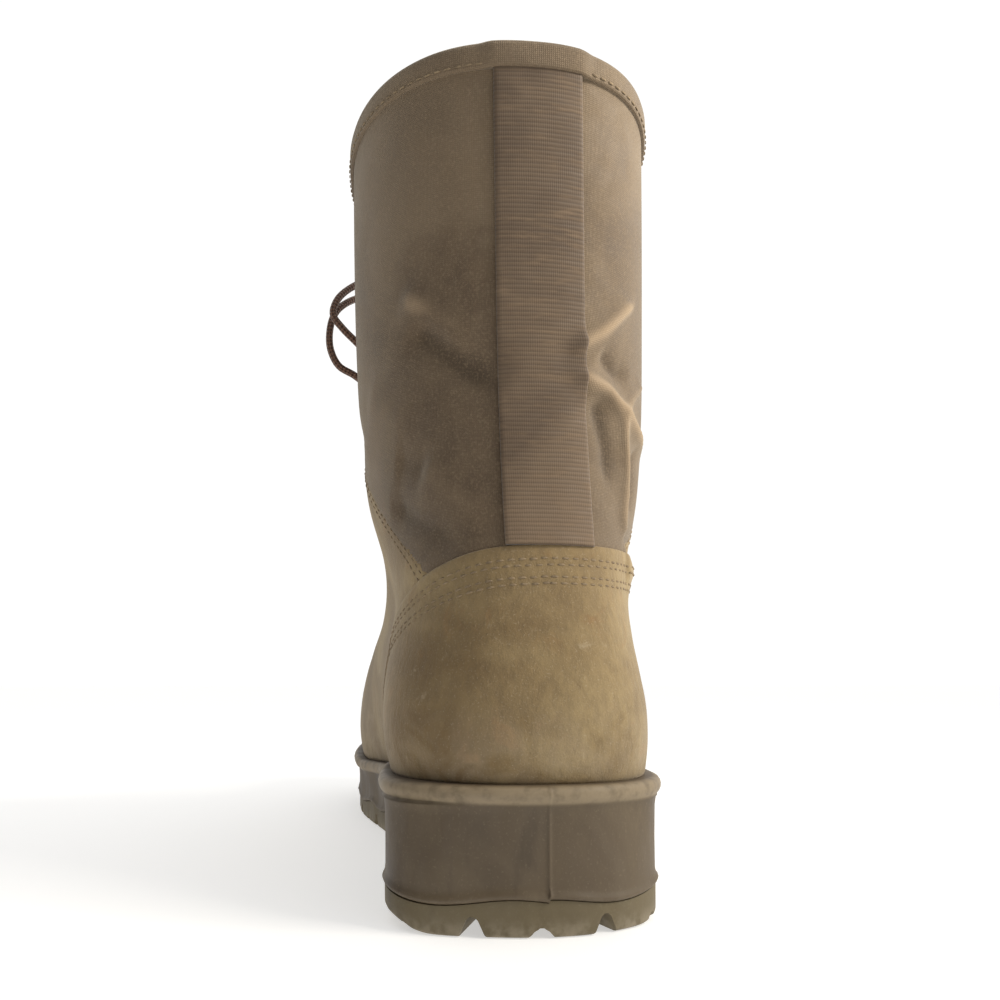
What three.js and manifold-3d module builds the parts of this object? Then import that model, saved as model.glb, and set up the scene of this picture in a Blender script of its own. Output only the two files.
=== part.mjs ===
// A laced combat boot for the right foot, standing empty on its sole.
// Millimetres, +Z up, toe along +Y, outer side of the foot along +X.
import * as THREE from "three";
import { mergeVertices } from "three/addons/utils/BufferGeometryUtils.js";
import Module from "manifold-3d";

const wasm = await Module();
wasm.setup();

// Driving dimensions.
const WALL = 2.2;
const GAP = 0.3;
// What stands on the seat is cut into other facets than the seat, so it needs a little more room.
const SEAT_GAP = 0.6;
const COUNTER_THICKNESS = 1.6;
const WEBBING_WIDTH = 25.4;
const WEBBING_THICKNESS = 1.5;
const WEBBING_MIDDLE = { atCounter: 3.5, atCollar: -1.2 };
const TONGUE_THICKNESS = 3.6;
const INSOLE_THICKNESS = 4.5;
const LACE_DIAMETER = 3;
const EYELET_PAIRS = 8;
// Middle of the sole across and along, measured from the heel seam's own axis.
const BOX_CENTRE_X = 2.763;
const BOX_CENTRE_Y = -0.212;

// How finely the curved forms are divided.
const STEPS_ALONG_SIDE = 17;
const LOOPS_IN_UPPER = 16;

/** Turns rows of numbers into records with named columns. */
function table(columns, rows) {
  return rows.map((row) => Object.fromEntries(columns.map((name, i) => [name, row[i]])));
}

// The last, bottom to top. Each row is one loop round the foot in a plane that leans from the
// back point to the front point. Heights are above the seat. "In" is the half width towards the
// other foot and "Out" the outer half width; the caps are the lengths of the rounded ends.
const LAST = table(
  ["frontY", "frontZ", "backY", "backZ", "frontX", "backX",
    "heelIn", "heelOut", "waistIn", "waistOut", "ballIn", "ballOut", "heelCap", "toeCap"],
  [
    [148, 0, -148.3, 0, -9, 0, 38.2, 35.8, 33, 36.5, 45.5, 53, 40, 80],
    [150.5, 13, -150.6, 9, -9, 0, 40.4, 36.6, 36, 38.5, 47, 54.5, 42, 82],
    [148.6, 27, -150.6, 19, -9, 0, 40.8, 36.6, 38.3, 39.5, 46.5, 53.5, 43, 86],
    [137.5, 40.5, -149, 29, -8, 0, 39.6, 35.8, 39, 40, 44.5, 51, 46, 96],
    [113, 50, -146.8, 39, -6, 0, 38.2, 35.2, 38.3, 40, 42, 48.5, 50, 100],
    [84, 60, -144, 51, -4, 0, 37.6, 35.8, 36, 39.5, 38.5, 44.5, 56, 92],
    [50, 72, -141.2, 66, -3, 0, 40.2, 39, 39, 41.6, 38, 42.6, 62, 80],
    [22, 91, -139.4, 86, -2.5, 0, 45, 43.6, 46, 44.4, 41.5, 42.8, 64, 70],
    [-1, 116, -140, 110, -3, -0.4, 48.8, 45.4, 49.4, 45.8, 45.4, 43.2, 64, 66],
    [-12, 146, -143.3, 140, -3.5, -1, 51, 45.2, 51.3, 45.4, 49, 43.8, 64, 64],
    [-17, 178, -147, 174, -4, -1.6, 51.8, 44.6, 52.2, 44.8, 50.8, 43.8, 64, 64],
    [-19, 207, -150.4, 204, -4, -2.2, 52.3, 44, 52.6, 44.2, 51.4, 43.4, 65, 65],
    [-20, 222, -152.4, 218, -4, -2.6, 52.4, 43.8, 52.7, 44, 51.5, 43.2, 66, 66],
  ],
);
const COLLAR_ROW = 11;
const THROAT_ROW = 5.75;
const HEEL_PLACE = 0.15;
const WAIST_PLACE = 0.42;
const BALL_PLACE = 0.68;
// How square the rounded heel and toe are: 2 is an ellipse.
const HEEL_SQUARENESS = 2.35;
const TOE_SQUARENESS = 2.25;
// Above this height over the seat the loops no longer follow the seat's rise and fall.
const SEAT_FADE_HEIGHT = 110;
const SEAT_AT_HEEL = 38.5;

// Side view of the sole: the tread, the joint between outsole and midsole, and the seat.
const SOLE_PROFILE = table(
  ["y", "tread", "joint", "seat"],
  [
    [-160, 0, 9.6, 38.8],
    [-110, 0, 9.6, 38.5],
    [-72, 0, 9.6, 37.2],
    [-66, 9.5, 14.6, 36.7],
    [-40, 11.5, 16.4, 33.6],
    [-16, 8, 14.2, 30.8],
    [-8, 0, 10, 29.9],
    [40, 0, 9.2, 27],
    [82, 0, 9.2, 27.6],
    [108, 2.4, 11.4, 29.6],
    [132, 6.8, 15.4, 32.6],
    [160, 13.4, 21.6, 37.4],
  ],
);

/** Catmull-Rom value of one column at a fractional row. */
function splined(rows, column, at) {
  const last = rows.length - 1;
  const i = Math.min(Math.max(Math.floor(at), 0), last - 1);
  const f = at - i;
  const value = (k) => rows[Math.min(Math.max(k, 0), last)][column];
  const [a, b, c, d] = [value(i - 1), value(i), value(i + 1), value(i + 2)];
  return b + 0.5 * f * (c - a + f * (2 * a - 5 * b + 4 * c - d + f * (3 * (b - c) + d - a)));
}

/** Straight-line value of one column of the sole's profile at a length along the foot. */
function soleHeight(column, y) {
  const next = Math.max(1, SOLE_PROFILE.findIndex((row) => row.y >= y));
  const [low, high] = [SOLE_PROFILE[next - 1], SOLE_PROFILE[next]];
  return THREE.MathUtils.mapLinear(y, low.y, high.y, low[column], high[column]);
}

/** Rounds an end: 0 at the tip, 1 from one cap length on. */
function roundedEnd(distance, capLength, squareness) {
  const inside = Math.max(0, 1 - distance / capLength);
  return (1 - inside ** squareness) ** (1 / squareness);
}

/** Half width at a share of the length, through the heel, waist and ball widths. */
function halfWidth(share, heel, waist, ball) {
  const places = [-0.1, HEEL_PLACE, WAIST_PLACE, BALL_PLACE, 1.1];
  const rows = [heel, heel, waist, ball, ball].map((width) => ({ width }));
  let i = 0;
  while (i < places.length - 2 && share > places[i + 1]) i += 1;
  const f = (share - places[i]) / (places[i + 1] - places[i]);
  return splined(rows, "width", i + f);
}

/** A point of the last: a fractional row, and a turn from the heel tip (0) by the outer side. */
function lastPoint(row, turn) {
  const at = (column) => splined(LAST, column, row);
  const share = (1 - Math.cos(turn)) / 2;
  const [backY, frontY] = [at("backY"), at("frontY")];
  const y = THREE.MathUtils.lerp(backY, frontY, share);
  const height = THREE.MathUtils.lerp(at("backZ"), at("frontZ"), share);
  const middle = THREE.MathUtils.lerp(at("backX"), at("frontX"), share);
  const round = roundedEnd(y - backY, at("heelCap"), HEEL_SQUARENESS)
    * roundedEnd(frontY - y, at("toeCap"), TOE_SQUARENESS);
  const outer = Math.sin(turn) >= 0;
  const width = outer
    ? halfWidth(share, at("heelOut"), at("waistOut"), at("ballOut")) - middle
    : -halfWidth(share, at("heelIn"), at("waistIn"), at("ballIn")) - middle;
  const fade = THREE.MathUtils.smoothstep(height, 0, SEAT_FADE_HEIGHT);
  const seat = THREE.MathUtils.lerp(soleHeight("seat", y), SEAT_AT_HEEL, fade);
  return new THREE.Vector3(middle + width * round, y, seat + height);
}

/** Outward direction of the last's surface. */
function lastNormal(row, turn) {
  const [rowStep, turnStep] = [0.05, 0.03];
  const up = lastPoint(row + rowStep, turn).sub(lastPoint(row - rowStep, turn));
  const round = lastPoint(row, turn + turnStep).sub(lastPoint(row, turn - turnStep));
  return round.cross(up).normalize();
}

/** A point at a distance outside (+) or inside (-) the last's surface. */
function surfacePoint(row, turn, distance) {
  return lastPoint(row, turn).addScaledVector(lastNormal(row, turn), distance);
}

/** One closed loop of the last at a distance from its surface. */
function lastLoop(row, distance) {
  const count = 2 * STEPS_ALONG_SIDE;
  const turnOf = (i) => (i * Math.PI) / STEPS_ALONG_SIDE;
  return Array.from({ length: count }, (_, i) => surfacePoint(row, turnOf(i), distance));
}

/** Geometry from points and triangles. */
function meshed(points, triangles) {
  const geometry = new THREE.BufferGeometry();
  const numbers = points.flatMap((p) => [p.x, p.y, p.z]);
  geometry.setAttribute("position", new THREE.Float32BufferAttribute(numbers, 3));
  geometry.setIndex(triangles.flat());
  return geometry;
}

/** Joins loops of equal count into walls; `closed` also joins the last loop to the first. */
function walls(loops, closed) {
  const count = loops[0].length;
  const triangles = [];
  for (let k = 0; k < (closed ? loops.length : loops.length - 1); k += 1) {
    const [low, high] = [k * count, ((k + 1) % loops.length) * count];
    for (let i = 0; i < count; i += 1) {
      const j = (i + 1) % count;
      triangles.push([low + i, low + j, high + j], [low + i, high + j, high + i]);
    }
  }
  return triangles;
}

/** A solid from stacked loops, its ends closed by strips from side to side. */
function stacked(loops) {
  const count = loops[0].length;
  const triangles = walls(loops, false);
  const top = (loops.length - 1) * count;
  for (let i = 0; i < count / 2; i += 1) {
    const [a, b, c, d] = [i, i + 1, (count - i) % count, count - i - 1];
    if (i > 0) triangles.push([a, c, b], [top + a, top + b, top + c]);
    if (d !== b) triangles.push([b, c, d], [top + b, top + d, top + c]);
  }
  return meshed(loops.flat(), triangles);
}

/** A hollow wall from stacked outer loops and the inner loops behind them. */
function hollow(outer, inner) {
  const loops = [...outer, ...[...inner].reverse()];
  return meshed(loops.flat(), walls(loops, true));
}

/** Manifold solid of a closed geometry. */
function solid(geometry) {
  const bare = geometry.clone();
  bare.deleteAttribute("normal");
  bare.deleteAttribute("uv");
  const merged = mergeVertices(bare, 1e-4);
  return new wasm.Manifold(new wasm.Mesh({
    numProp: 3,
    vertProperties: new Float32Array(merged.attributes.position.array),
    triVerts: new Uint32Array(merged.index.array),
  }));
}

/** Geometry of a manifold solid. */
function geometryOf(manifold) {
  const mesh = manifold.getMesh();
  const geometry = new THREE.BufferGeometry();
  geometry.setAttribute("position", new THREE.Float32BufferAttribute(mesh.vertProperties, 3));
  geometry.setIndex(Array.from(mesh.triVerts));
  return geometry;
}

/** Fractional rows evenly spread from one row to another. */
function rowsBetween(first, last, count) {
  return Array.from({ length: count }, (_, i) => THREE.MathUtils.lerp(first, last, i / (count - 1)));
}

/** The last's whole form grown or shrunk by a distance, from the seat to a row. */
function filledLast(distance, firstRow, lastRow) {
  return solid(stacked(rowsBetween(firstRow, lastRow, LOOPS_IN_UPPER).map((row) => lastLoop(row, distance))));
}

/** Turn at which the last is a given distance from its front line; side is +1 outer, -1 inner. */
function turnAcross(row, side, distance) {
  const front = lastPoint(row, Math.PI).x;
  let [near, far] = [Math.PI, Math.PI / 2];
  for (let i = 0; i < 30; i += 1) {
    const middle = (near + far) / 2;
    const x = lastPoint(row, side > 0 ? middle : -middle).x;
    if (Math.abs(x - front) < distance) near = middle;
    else far = middle;
  }
  return side > 0 ? near : 2 * Math.PI - near;
}

const materials = {
  outsole: new THREE.MeshStandardMaterial({ color: 0x6b5d45, roughness: 0.85 }),
  midsole: new THREE.MeshStandardMaterial({ color: 0x6f6150, roughness: 0.7 }),
  insole: new THREE.MeshStandardMaterial({ color: 0x5a5348, roughness: 0.95 }),
  fabric: new THREE.MeshStandardMaterial({ color: 0x7d6a55, roughness: 0.9 }),
  suede: new THREE.MeshStandardMaterial({ color: 0x8a7454, roughness: 0.95 }),
  webbing: new THREE.MeshStandardMaterial({ color: 0x78695a, roughness: 0.85 }),
  metal: new THREE.MeshStandardMaterial({ color: 0x5b4d3a, roughness: 0.45, metalness: 0.8 }),
  lace: new THREE.MeshStandardMaterial({ color: 0x6a4a38, roughness: 0.8 }),
};

const boot = new THREE.Group();
boot.position.set(-BOX_CENTRE_X, -BOX_CENTRE_Y, 0);

/** Adds one named sub-part. */
function add(name, geometry, material) {
  const mesh = new THREE.Mesh(geometry, material);
  mesh.name = name;
  boot.add(mesh);
  return mesh;
}

// ---------------------------------------------------------------- sole

/** Lengths at which the sole is divided: the last's own steps and the profile's corners. */
function soleStations() {
  const [backY, frontY] = [LAST[0].backY, LAST[0].frontY];
  const shareOf = (i) => (1 - Math.cos((i * Math.PI) / STEPS_ALONG_SIDE)) / 2;
  const shares = Array.from({ length: STEPS_ALONG_SIDE + 1 }, (_, i) => shareOf(i));
  const corners = SOLE_PROFILE
    .map((row) => (row.y - backY) / (frontY - backY))
    .filter((s) => s > 0.05 && s < 0.95);
  const even = shares.filter((s) => corners.every((corner) => Math.abs(corner - s) > 0.035));
  return [...even, ...corners].sort((a, b) => a - b);
}
const SOLE_TURNS = soleStations().map((share) => Math.acos(1 - 2 * share));

/** The sole's outline grown by a margin, with heights from a function of the length. */
function soleLoop(margin, heightAt) {
  const turns = [...SOLE_TURNS, ...SOLE_TURNS.slice(1, -1).reverse().map((turn) => 2 * Math.PI - turn)];
  return turns.map((turn) => {
    const step = 0.02;
    const along = lastPoint(0, turn + step).sub(lastPoint(0, turn - step));
    const out = new THREE.Vector3(along.y, -along.x, 0).normalize();
    const point = lastPoint(0, turn).addScaledVector(out, margin);
    return new THREE.Vector3(point.x, point.y, heightAt(point.y));
  });
}

// The midsole's wall from the joint up: margin beyond the feather line, and where it lies.
const MIDSOLE_WALL = table(
  ["margin", "from", "above"],
  [
    [1.3, "joint", GAP],
    [2.2, "seat", -5],
    [3.7, "seat", -4.1],
    [4.3, "seat", -2.2],
    [3.6, "seat", -0.6],
    [2.2, "seat", 0],
  ],
);
const OUTSOLE_TREAD_MARGIN = 0.9;
const OUTSOLE_JOINT_MARGIN = 1.6;

function makeMidsole() {
  return stacked(MIDSOLE_WALL.map(({ margin, from, above }) => (
    soleLoop(margin, (y) => soleHeight(from, y) + above)
  )));
}

// Tread: grooves that run in from the edge, and one channel inside the row of edge lugs.
// The first groove lies `start` of a pitch from the heel seam, and they are shallow and deep by turns.
const GROOVE = {
  pitch: 17, start: -0.12, length: 19, widthAtTread: 7, widthAtRoot: 2.2, depth: 5, shallow: 2.6,
};
const CHANNEL = { inset: 17, width: 5, depth: 4.5 };
const HEEL_FRONT = -70;
const FOREFOOT_BACK = -2;
const CENTRE_BARS = { heel: [-125, -105, -85], forefoot: [18, 38, 58, 77, 95], width: 5 };

/** A groove: a trapezoid pushed from a point at the edge along a level direction. */
function groove(start, direction, length, depth, widthAtTread) {
  const slope = (widthAtTread - GROOVE.widthAtRoot) / depth;
  const below = widthAtTread / 2 + slope / 2;
  const section = new THREE.Shape([
    new THREE.Vector2(-below, -1),
    new THREE.Vector2(below, -1),
    new THREE.Vector2(GROOVE.widthAtRoot / 2, depth),
    new THREE.Vector2(-GROOVE.widthAtRoot / 2, depth),
  ]);
  const geometry = new THREE.ExtrudeGeometry(section, { depth: length, bevelEnabled: false });
  const across = new THREE.Vector3(0, 0, 1).cross(direction).normalize();
  const turned = new THREE.Matrix4().makeBasis(across, new THREE.Vector3(0, 0, 1), direction);
  geometry.applyMatrix4(turned.setPosition(start));
  return solid(geometry);
}

/** Grooves at an even pitch round the edge, deep and shallow by turns. */
function edgeGrooves() {
  const edge = soleLoop(OUTSOLE_TREAD_MARGIN, () => 0);
  const path = new THREE.CatmullRomCurve3(edge, true);
  const count = Math.round(path.getLength() / GROOVE.pitch);
  const cutters = [];
  for (let i = 0; i < count; i += 1) {
    const share = ((i + GROOVE.start) / count + 1) % 1;
    const point = path.getPointAt(share);
    const along = path.getTangentAt(share);
    const inward = new THREE.Vector3(-along.y, along.x, 0).normalize();
    const inArch = point.y > HEEL_FRONT - 6 && point.y < FOREFOOT_BACK + 8;
    if (!inArch) {
      const start = point.clone().addScaledVector(inward, -4).setZ(soleHeight("tread", point.y));
      const depth = i % 2 === 0 ? GROOVE.shallow : GROOVE.depth;
      cutters.push(groove(start, inward, GROOVE.length + 4, depth, GROOVE.widthAtTread));
    }
  }
  return cutters;
}

/** The channel behind the edge lugs: a ring between two outlines. */
function channel() {
  const [outer, inner] = [-CHANNEL.inset, -CHANNEL.inset - CHANNEL.width];
  const loopAt = (margin, rise) => soleLoop(margin, (y) => soleHeight("tread", y) + rise);
  const ring = (margin) => solid(stacked([-1, CHANNEL.depth].map((rise) => loopAt(margin, rise))));
  return ring(outer).subtract(ring(inner));
}

/** Grooves across the middle of heel and forefoot. */
function centreGrooves() {
  return [...CENTRE_BARS.heel, ...CENTRE_BARS.forefoot].map((y) => {
    const start = new THREE.Vector3(-24, y, soleHeight("tread", y));
    return groove(start, new THREE.Vector3(1, 0, 0), 50, CHANNEL.depth, CENTRE_BARS.width);
  });
}

function makeOutsole() {
  const block = solid(stacked([
    soleLoop(OUTSOLE_TREAD_MARGIN, (y) => soleHeight("tread", y)),
    soleLoop(OUTSOLE_JOINT_MARGIN, (y) => soleHeight("joint", y)),
  ]));
  const cutters = [...edgeGrooves(), channel(), ...centreGrooves()];
  return geometryOf(cutters.reduce((shape, cutter) => shape.subtract(cutter), block));
}

function makeInsole() {
  const inset = -WALL - 0.5;
  const rises = [GAP, GAP + INSOLE_THICKNESS];
  return stacked(rises.map((rise) => soleLoop(inset, (y) => soleHeight("seat", y) + rise)));
}

// ---------------------------------------------------------------- upper

// The throat's half width, from its rounded base to the collar.
const THROAT = table(
  ["row", "half"],
  [[THROAT_ROW, 3], [THROAT_ROW + 0.08, 7], [THROAT_ROW + 0.25, 9.5], [8, 12], [10, 14.5], [12, 17]],
);

/** Half width of the throat at a row. */
function throatHalf(row) {
  const next = Math.max(1, THROAT.findIndex((entry) => entry.row >= row));
  const [low, high] = [THROAT[next - 1], THROAT[next]];
  return THREE.MathUtils.mapLinear(row, low.row, high.row, low.half, high.half);
}

/** The opening down the front, a wedge of rectangles square to the front line. */
function throatCutter() {
  const rows = [...THROAT.slice(0, 3).map((entry) => entry.row), ...rowsBetween(6.5, 12, 9)];
  const [outside, inside] = [10, -14];
  const loops = rows.map((row) => {
    const half = throatHalf(row);
    return [[half, inside], [half, outside], [-half, outside], [-half, inside]].map(([dx, distance]) => {
      const point = surfacePoint(row, Math.PI, distance);
      return point.setX(point.x + dx);
    });
  });
  const top = (loops.length - 1) * 4;
  const ends = [[0, 2, 1], [0, 3, 2], [top, top + 1, top + 2], [top, top + 2, top + 3]];
  return solid(meshed(loops.flat(), [...walls(loops, false), ...ends]));
}

const EYELET = { bore: 2.4, barrel: 3, flange: 4.8, flangeThickness: 0.7, lift: 1, edge: 9.5, sides: 6 };
const EYELET_FIRST_ROW = 6.15;
const EYELET_LAST_ROW = 10.6;

/** Where each eyelet sits: its row, turn, centre on the surface and outward direction. */
function eyeletSeats() {
  const seats = [];
  rowsBetween(EYELET_FIRST_ROW, EYELET_LAST_ROW, EYELET_PAIRS).forEach((row, pair) => {
    [[1, "outer"], [-1, "inner"]].forEach(([side, sideName]) => {
      const turn = turnAcross(row, side, throatHalf(row) + EYELET.edge);
      const seat = { pair, side, sideName, row, turn };
      seats.push({ ...seat, centre: lastPoint(row, turn), normal: lastNormal(row, turn) });
    });
  });
  return seats;
}
const SEATS = eyeletSeats();

/** Turns a geometry made along Y so that it points outwards at an eyelet's seat. */
function placedAt(geometry, seat) {
  const turn = new THREE.Quaternion().setFromUnitVectors(new THREE.Vector3(0, 1, 0), seat.normal);
  return geometry.applyQuaternion(turn).translate(seat.centre.x, seat.centre.y, seat.centre.z);
}

function makeUpper() {
  const rows = rowsBetween(0, COLLAR_ROW, LOOPS_IN_UPPER);
  const lifted = (loop) => loop.map((point) => point.setZ(point.z + SEAT_GAP));
  const loopsAt = (distance) => rows
    .map((row) => lastLoop(row, distance))
    .map((loop, i) => (i === 0 ? lifted(loop) : loop));
  const wall = solid(hollow(loopsAt(0), loopsAt(-WALL)));
  const holes = SEATS.map((seat) => {
    const radius = EYELET.barrel + GAP;
    return solid(placedAt(new THREE.CylinderGeometry(radius, radius, 14, EYELET.sides), seat));
  });
  return geometryOf(holes.reduce((shape, hole) => shape.subtract(hole), wall.subtract(throatCutter())));
}

// The counter's top edge in side view, back to front, for the outer and the inner side.
const COUNTER_EDGE = {
  outer: [[-165, 103.5], [-142, 103.5], [-112, 104.5], [-96, 101], [-78, 86], [-62, 64], [-50, 30]],
  inner: [
    [-165, 103.5], [-142, 103.5], [-131, 98.5], [-122, 94.5], [-100, 85], [-80, 69], [-66, 54], [-56, 30],
  ],
};

/** Everything below the counter's edge on one side. */
function counterCutter(side) {
  const edge = side > 0 ? COUNTER_EDGE.outer : COUNTER_EDGE.inner;
  const corners = [...edge, [-165, 30]].map(([y, z]) => new THREE.Vector2(y, z));
  const geometry = new THREE.ExtrudeGeometry(new THREE.Shape(corners), { depth: 70, bevelEnabled: false });
  const basis = new THREE.Matrix4().makeBasis(
    new THREE.Vector3(0, 1, 0), new THREE.Vector3(0, 0, 1), new THREE.Vector3(1, 0, 0));
  geometry.applyMatrix4(basis).translate(side > 0 ? 0 : -70, 0, 0);
  return solid(geometry);
}

function makeCounter() {
  const inner = filledLast(GAP, 0, 8.5);
  const outer = filledLast(GAP + COUNTER_THICKNESS, 0, 8);
  const seat = solid(stacked([
    soleLoop(12, () => 0),
    soleLoop(12, (y) => soleHeight("seat", y) + SEAT_GAP),
  ]));
  const region = counterCutter(1).add(counterCutter(-1));
  return geometryOf(outer.subtract(inner).intersect(region).subtract(seat));
}

function makeWebbing() {
  const inner = filledLast(GAP, 5, 12);
  const outer = filledLast(GAP + WEBBING_THICKNESS, 5, 11.1);
  const [low, high] = [COUNTER_EDGE.outer[0][1] + GAP, SEAT_AT_HEEL + LAST[COLLAR_ROW].backZ + 1];
  const half = WEBBING_WIDTH / 2;
  const section = (x, z) => [[x - half, -170], [x + half, -170], [x + half, -110], [x - half, -110]]
    .map(([px, py]) => new THREE.Vector3(px, py, z));
  const loops = [section(WEBBING_MIDDLE.atCounter, low), section(WEBBING_MIDDLE.atCollar, high)];
  const ends = [[0, 2, 1], [0, 3, 2], [4, 5, 6], [4, 6, 7]];
  const strip = solid(meshed(loops.flat(), [...walls(loops, false), ...ends]));
  return geometryOf(outer.subtract(inner).intersect(strip));
}

const TONGUE = { firstRow: 5, lastRow: 11.7, halfAtBase: 20, halfAtTop: 33, steps: 12, across: 9 };

function makeTongue() {
  const outside = -WALL - 1;
  const rows = rowsBetween(TONGUE.firstRow, TONGUE.lastRow, TONGUE.steps);
  const loops = rows.map((row) => {
    const share = (row - TONGUE.firstRow) / (TONGUE.lastRow - TONGUE.firstRow);
    const half = THREE.MathUtils.lerp(TONGUE.halfAtBase, TONGUE.halfAtTop, Math.sqrt(share));
    const [from, to] = [turnAcross(row, 1, half), turnAcross(row, -1, half)];
    const turnOf = (i) => THREE.MathUtils.lerp(from, to, i / TONGUE.across);
    const turns = Array.from({ length: TONGUE.across + 1 }, (_, i) => turnOf(i));
    const front = turns.map((turn) => surfacePoint(row, turn, outside));
    const back = turns.map((turn) => surfacePoint(row, turn, outside - TONGUE_THICKNESS));
    return [...front, ...back.reverse()];
  });
  const count = loops[0].length;
  const top = (loops.length - 1) * count;
  const ends = [];
  for (let i = 0; i < TONGUE.across; i += 1) {
    const [a, b, c, d] = [i, i + 1, count - 1 - i, count - 2 - i];
    ends.push([a, c, b], [b, c, d], [top + a, top + b, top + c], [top + b, top + d, top + c]);
  }
  return meshed(loops.flat(), [...walls(loops, false), ...ends]);
}

function makeEyelet(seat) {
  const { bore, barrel, flange, flangeThickness, lift, sides } = EYELET;
  const bottom = -WALL - 0.2;
  const top = lift + flangeThickness;
  const profile = [
    [bore, bottom], [barrel, bottom], [barrel, lift], [flange, lift], [flange, top], [bore, top],
    [bore, bottom],
  ];
  const points = profile.map(([radius, height]) => new THREE.Vector2(radius, height));
  return placedAt(new THREE.LatheGeometry(points, sides), seat);
}

// ---------------------------------------------------------------- lace

// Height of the lace's centre line over the upper where it crosses, clear of the eyelets' flanges.
const LACE_LIFT = 4.6;
const KNOT = { row: 10.85, lift: 7, halfWidth: 7.5, halfDepth: 5, halfHeight: 6 };
const KNOT_CENTRE = surfacePoint(KNOT.row, Math.PI, KNOT.lift);

/** A round cord along points, closed at both ends. */
function cord(points, sides, stepLength) {
  const path = new THREE.CatmullRomCurve3(points, false, "centripetal");
  const radius = LACE_DIAMETER / 2;
  const corners = Array.from({ length: sides }, (_, i) => {
    const angle = (2 * Math.PI * i) / sides;
    return new THREE.Vector2(radius * Math.cos(angle), radius * Math.sin(angle));
  });
  const steps = Math.max(2, Math.round(path.getLength() / stepLength));
  return new THREE.ExtrudeGeometry(new THREE.Shape(corners), { steps, extrudePath: path });
}

/** Points over the upper from one row and turn to another, at the lace's height. */
function overUpper(from, to, count) {
  return Array.from({ length: count }, (_, i) => {
    const share = i / (count - 1);
    const row = THREE.MathUtils.lerp(from.row, to.row, share);
    return surfacePoint(row, THREE.MathUtils.lerp(from.turn, to.turn, share), LACE_LIFT);
  });
}

/** The lace from pair to pair: one bar at the bottom, crosses above it and two leads to the knot. */
function makeCrossings() {
  const seat = (pair, side) => SEATS.find((entry) => entry.pair === pair && entry.side === side);
  const bars = [overUpper(seat(0, 1), seat(0, -1), 5)];
  for (let pair = 1; pair < EYELET_PAIRS; pair += 1) {
    bars.push(overUpper(seat(pair - 1, 1), seat(pair, -1), 5));
    bars.push(overUpper(seat(pair - 1, -1), seat(pair, 1), 5));
  }
  [1, -1].forEach((side) => {
    const last = seat(EYELET_PAIRS - 1, side);
    const nearKnot = KNOT_CENTRE.clone().add(new THREE.Vector3(side * (KNOT.halfWidth + 0.6), 0, 0));
    const [start] = overUpper(last, last, 2);
    const bend = start.clone().lerp(nearKnot, 0.55).add(new THREE.Vector3(0, 1.5, 0));
    bars.push([start, bend, nearKnot]);
  });
  const solids = bars.map((points) => solid(cord(points, 6, 5 * LACE_DIAMETER)));
  return geometryOf(solids.reduce((shape, bar) => shape.add(bar)));
}

function makeKnot() {
  const knot = new THREE.SphereGeometry(1, 12, 8);
  knot.scale(KNOT.halfWidth, KNOT.halfDepth, KNOT.halfHeight);
  return knot.translate(KNOT_CENTRE.x, KNOT_CENTRE.y, KNOT_CENTRE.z);
}

// Free stretches of the lace, as points laid by hand from the knot's own centre.
const LOOSE_LACE = {
  lace_loop_inner: [
    [-5.6, 5, 2.6], [-20, 12, 5], [-36, 10, 2], [-49, 2, -7], [-55.8, -5, -17], [-57, -7, -24],
    [-53, -8, -30], [-46.6, -7, -36], [-40, -4, -42], [-33, 0, -47], [-26, 3.5, -50], [-22, 4, -55.5],
    [-25.5, 4, -60.5], [-33, 1, -59], [-41, -1, -53], [-48, -2, -48], [-54.5, -3, -44.5], [-58.2, -3, -37],
    [-58.4, -2, -27.5], [-56, 1, -19], [-48, 10, -9], [-36, 17, -3.5], [-21, 17, -2], [-6.4, 5, -2.8],
  ],
  lace_loop_outer: [
    [5.6, 5, 2.6], [18, 12, 4], [32, 12, 0], [43, 6, -9], [49, 0, -21], [49, -2, -33], [43, 1, -43],
    [34, 6, -46], [27, 11, -39], [22, 15, -26], [15, 14, -12], [6.4, 5, -2.8],
  ],
  lace_end_inner: [
    [-3.2, 5, -5], [-6, 7, -13], [-8, 5.5, -27], [-9, 6.5, -41], [-9, 9.5, -56], [-8, 14, -69],
    [-6, 20.5, -80],
  ],
  lace_end_outer: [
    [3.2, 5, -5], [8, 7, -13], [13, 5.5, -26], [16, 6, -40], [17, 9, -55], [16, 13.5, -68], [13.5, 19.5, -78],
  ],
};
const LACE_TIP = { length: 14, radius: 1.65, sides: 8 };

/** A loose stretch's points in the boot's own place. */
function loosePoints(name) {
  return LOOSE_LACE[name].map(([x, y, z]) => new THREE.Vector3(x, y, z).add(KNOT_CENTRE));
}

/** The stiff tip on a free end, in line with its last stretch. */
function makeTip(name) {
  const [before, end] = loosePoints(name).slice(-2);
  const direction = end.clone().sub(before).normalize();
  const centre = end.clone().addScaledVector(direction, LACE_TIP.length / 2 + 0.6);
  const tip = new THREE.CylinderGeometry(LACE_TIP.radius, LACE_TIP.radius, LACE_TIP.length, LACE_TIP.sides);
  tip.applyQuaternion(new THREE.Quaternion().setFromUnitVectors(new THREE.Vector3(0, 1, 0), direction));
  return tip.translate(centre.x, centre.y, centre.z);
}

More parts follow.
